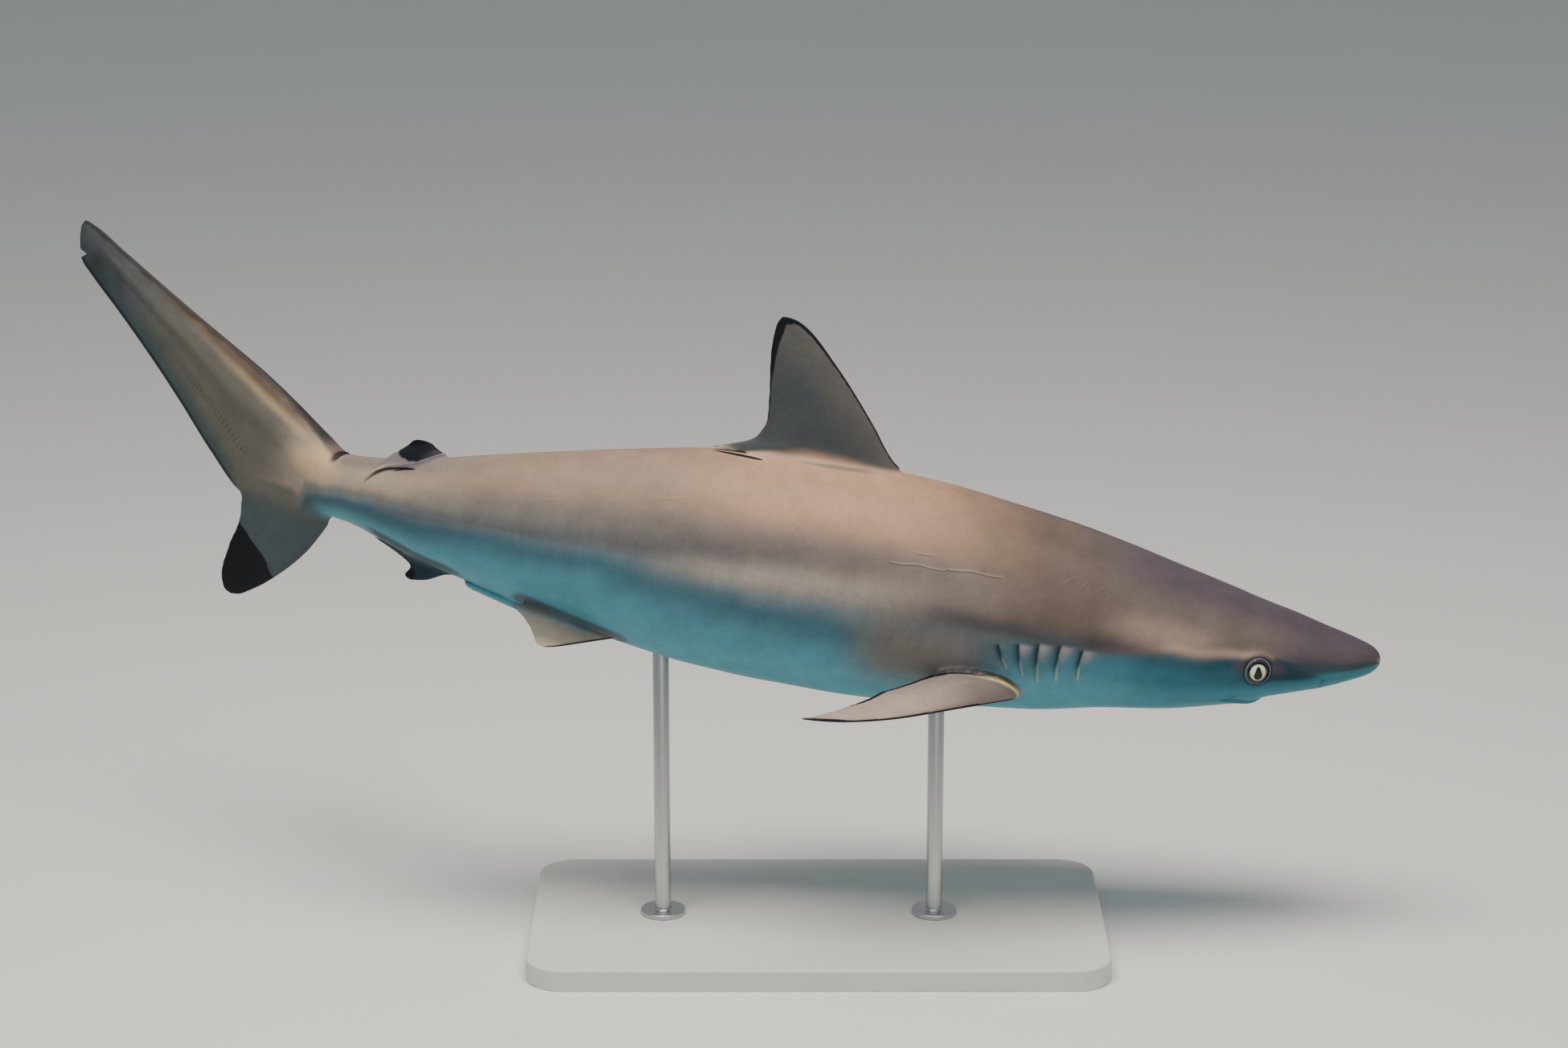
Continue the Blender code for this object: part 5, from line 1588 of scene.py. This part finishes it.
glass = eye_material()
for side_name, hand in HANDS.items():
    eye_name = "eyeball_" + side_name
    eye = add_object(eye_name, shell_mesh(eye_name, ball_rings(EYE_WIDE, EYE_DEEP, 48), 0))
    shade_smooth(eye.data)
    eye.matrix_world = eye_matrix(hand)
    eye.data.materials.append(glass)
    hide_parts("eye_" + side_name)
    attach(eye, "root")
    print(eye.name, [round(v, 4) for v in eye.location])

# %% [markdown]
# ## The display stand
#
# A slab with rounded corners and two short steel rods.  The slab is board, sprayed a matt pale
# grey so that it doesn't compete with the animal; the rods are turned bar with a foot flange,
# brushed round their length.  Each rod ends inside the belly.

# %% Shapes of the stand
BASE_SIZE = (0.46, 0.24, 0.018)
BASE_CORNER, BASE_RIM = 0.030, 0.002
ROD_RADIUS, ROD_INTO_BODY = 0.0065, 0.012
ROD_STATIONS = {"front": 0.285, "rear": 0.470}
FLANGE_RADIUS, FLANGE_HEIGHT = 0.018, 0.004
EDGE_ROUNDING = 0.001


def board_rings(size, corner, rim):
    """Rings of a slab with round corners and a rounded upper edge, from below to the top."""
    angles = round_angles(144)
    steps = [(0.0006, 0.0), (0.0, 0.0006), (0.0, size[2] - rim)]
    steps += [(rim * (1 - math.cos(a)), size[2] - rim * (1 - math.sin(a)))
              for a in np.linspace(0.1, math.pi / 2, 8)]
    rings = []
    for inset, z in steps:
        centre_x = (size[0] / 2 - corner) * np.sign(np.cos(angles).round(6))
        centre_y = (size[1] / 2 - corner) * np.sign(np.sin(angles).round(6))
        rings.append(np.stack([centre_x + (corner - inset) * np.cos(angles),
                               centre_y + (corner - inset) * np.sin(angles), z + 0 * angles], -1))
    return np.array(rings)


def turned_rings(outline):
    """Rings of a turned piece from its outline of (radius, height)."""
    angles = round_angles(64)
    return np.array([np.stack([r * np.cos(angles), r * np.sin(angles), z + 0 * angles], -1)
                     for r, z in outline])


def capped_mesh(name, rings):
    """A closed mesh over rings with a flat face at each end."""
    index, faces = ring_quads(rings)
    faces += [index[0][::-1].tolist(), index[-1].tolist()]
    mesh = closed_mesh(name, rings, faces)
    shade_smooth(mesh)
    mesh.set_sharp_from_angle(angle=math.radians(35))
    return mesh


# %% Stand materials
def stand_paint_material():
    n = Nodes("board, sprayed matt pale grey")
    where = n.own_place()
    mist = n.noise(where, 900.0, 2.0)
    cloud = n.noise(where, 14.0, 2.0)
    return n.surface(n.add("ShaderNodeBsdfPrincipled", {
        "Base Color": n.mixed(cloud, rgba("#CFCFCC"), rgba("#C4C4C1")),
        "Roughness": n.spread(cloud, 0.0, 1.0, 0.50, 0.60), "Normal": n.bumped(mist, 0.15, 0.0003)}))


def rod_steel_material():
    n = Nodes("stainless steel bar, turned and brushed")
    squeezed = n.vector_math("MULTIPLY", n.own_place(), (60.0, 60.0, 4000.0))
    brush = n.noise(squeezed, 1.0, 3.0)
    return n.surface(n.add("ShaderNodeBsdfPrincipled", {
        "Base Color": rgba("#BFC0C0"), "Metallic": 1.0, "Roughness": n.spread(brush, 0.0, 1.0, 0.22, 0.40),
        "Normal": n.bumped(brush, 0.12, 0.0002)}))


# %% Board and rods
board = capped_mesh("stand_board", board_rings(BASE_SIZE, BASE_CORNER, BASE_RIM))
base = add_object("stand_board", board)
base.data.materials.append(stand_paint_material())
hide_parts("stand_base")
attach(base, "root")
steel = rod_steel_material()
for end, rod_station in ROD_STATIONS.items():
    foot = place(belly_point(rod_station, 0.0))
    top, bottom = foot[2] + ROD_INTO_BODY, BASE_SIZE[2] + 0.00005
    ledge = bottom + FLANGE_HEIGHT
    outline = [(FLANGE_RADIUS - 0.0004, bottom), (FLANGE_RADIUS, bottom + 0.0004)]
    quarter = [(EDGE_ROUNDING * (1 - math.cos(a)), EDGE_ROUNDING * (1 - math.sin(a)))
               for a in np.linspace(0, math.pi / 2, 6)]
    outline += [(FLANGE_RADIUS - across, ledge - down) for across, down in quarter]
    outline += [(ROD_RADIUS + down, ledge + across) for across, down in quarter]
    outline += [(ROD_RADIUS, top - 0.002), (ROD_RADIUS - 0.001, top)]
    rod = add_object("stand_bar_" + end, capped_mesh("stand_bar_" + end, turned_rings(outline)))
    rod.location = (foot[0], foot[1], 0.0)
    rod.data.materials.append(steel)
    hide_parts("stand_rod_" + end)
    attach(rod, "root")
    print(rod.name, "from", round(bottom, 4), "to", round(top, 4))

# %% [markdown]
# ## Floor and light
#
# A plain pale floor and studio light.  A large softbox overhead makes the upper flank the
# brightest part and leaves the belly in its own cool shade; a weak broad fill from the camera's
# side keeps the shade open.

# %% Floor, world and lights
def plain_material(name, code, roughness):
    n = Nodes(name)
    darker = (*(0.97 * to_linear(code)), 1.0)
    colour = n.mixed(n.noise(n.own_place(), 3.0, 2.0), rgba(code), darker)
    return n.surface(n.add("ShaderNodeBsdfPrincipled", {"Base Color": colour, "Roughness": roughness}))


def area_light(name, place_at, aim, size, watts, code):
    data = bpy.data.lights.new(name, "AREA")
    data.shape, data.size, data.size_y = "RECTANGLE", size[0], size[1]
    data.energy, data.color = watts, to_linear(code)
    light = bpy.data.objects.new(name, data)
    light.location = place_at
    light.rotation_euler = (Vector(aim) - Vector(place_at)).to_track_quat("-Z", "Y").to_euler()
    bpy.context.scene.collection.objects.link(light)


floor_mesh = bpy.data.meshes.new("floor")
floor_mesh.from_pydata([(-30, -12, 0), (30, -12, 0), (30, 60, 0), (-30, 60, 0)], [], [(0, 1, 2, 3)])
floor_mesh.materials.append(plain_material("studio floor, rolled matt white", "#D6D8D8", 0.8))
floor = add_object("floor", floor_mesh)

world = bpy.data.worlds.new("studio")
world.use_nodes = True
world.node_tree.nodes["Background"].inputs["Color"].default_value = rgba("#DDE3E6")
world.node_tree.nodes["Background"].inputs["Strength"].default_value = 0.45
bpy.context.scene.world = world
area_light("overhead softbox", (-0.1, -0.55, 2.2), aim=(-0.05, 0.0, 0.3), size=(2.0, 0.9), watts=80,
           code="#FFF4E6")
area_light("front fill", (0.6, -3.0, 1.2), aim=(0.0, 0.0, 0.3), size=(2.5, 1.5), watts=9,
           code="#F0F6FF")
print("stage and lights ready")
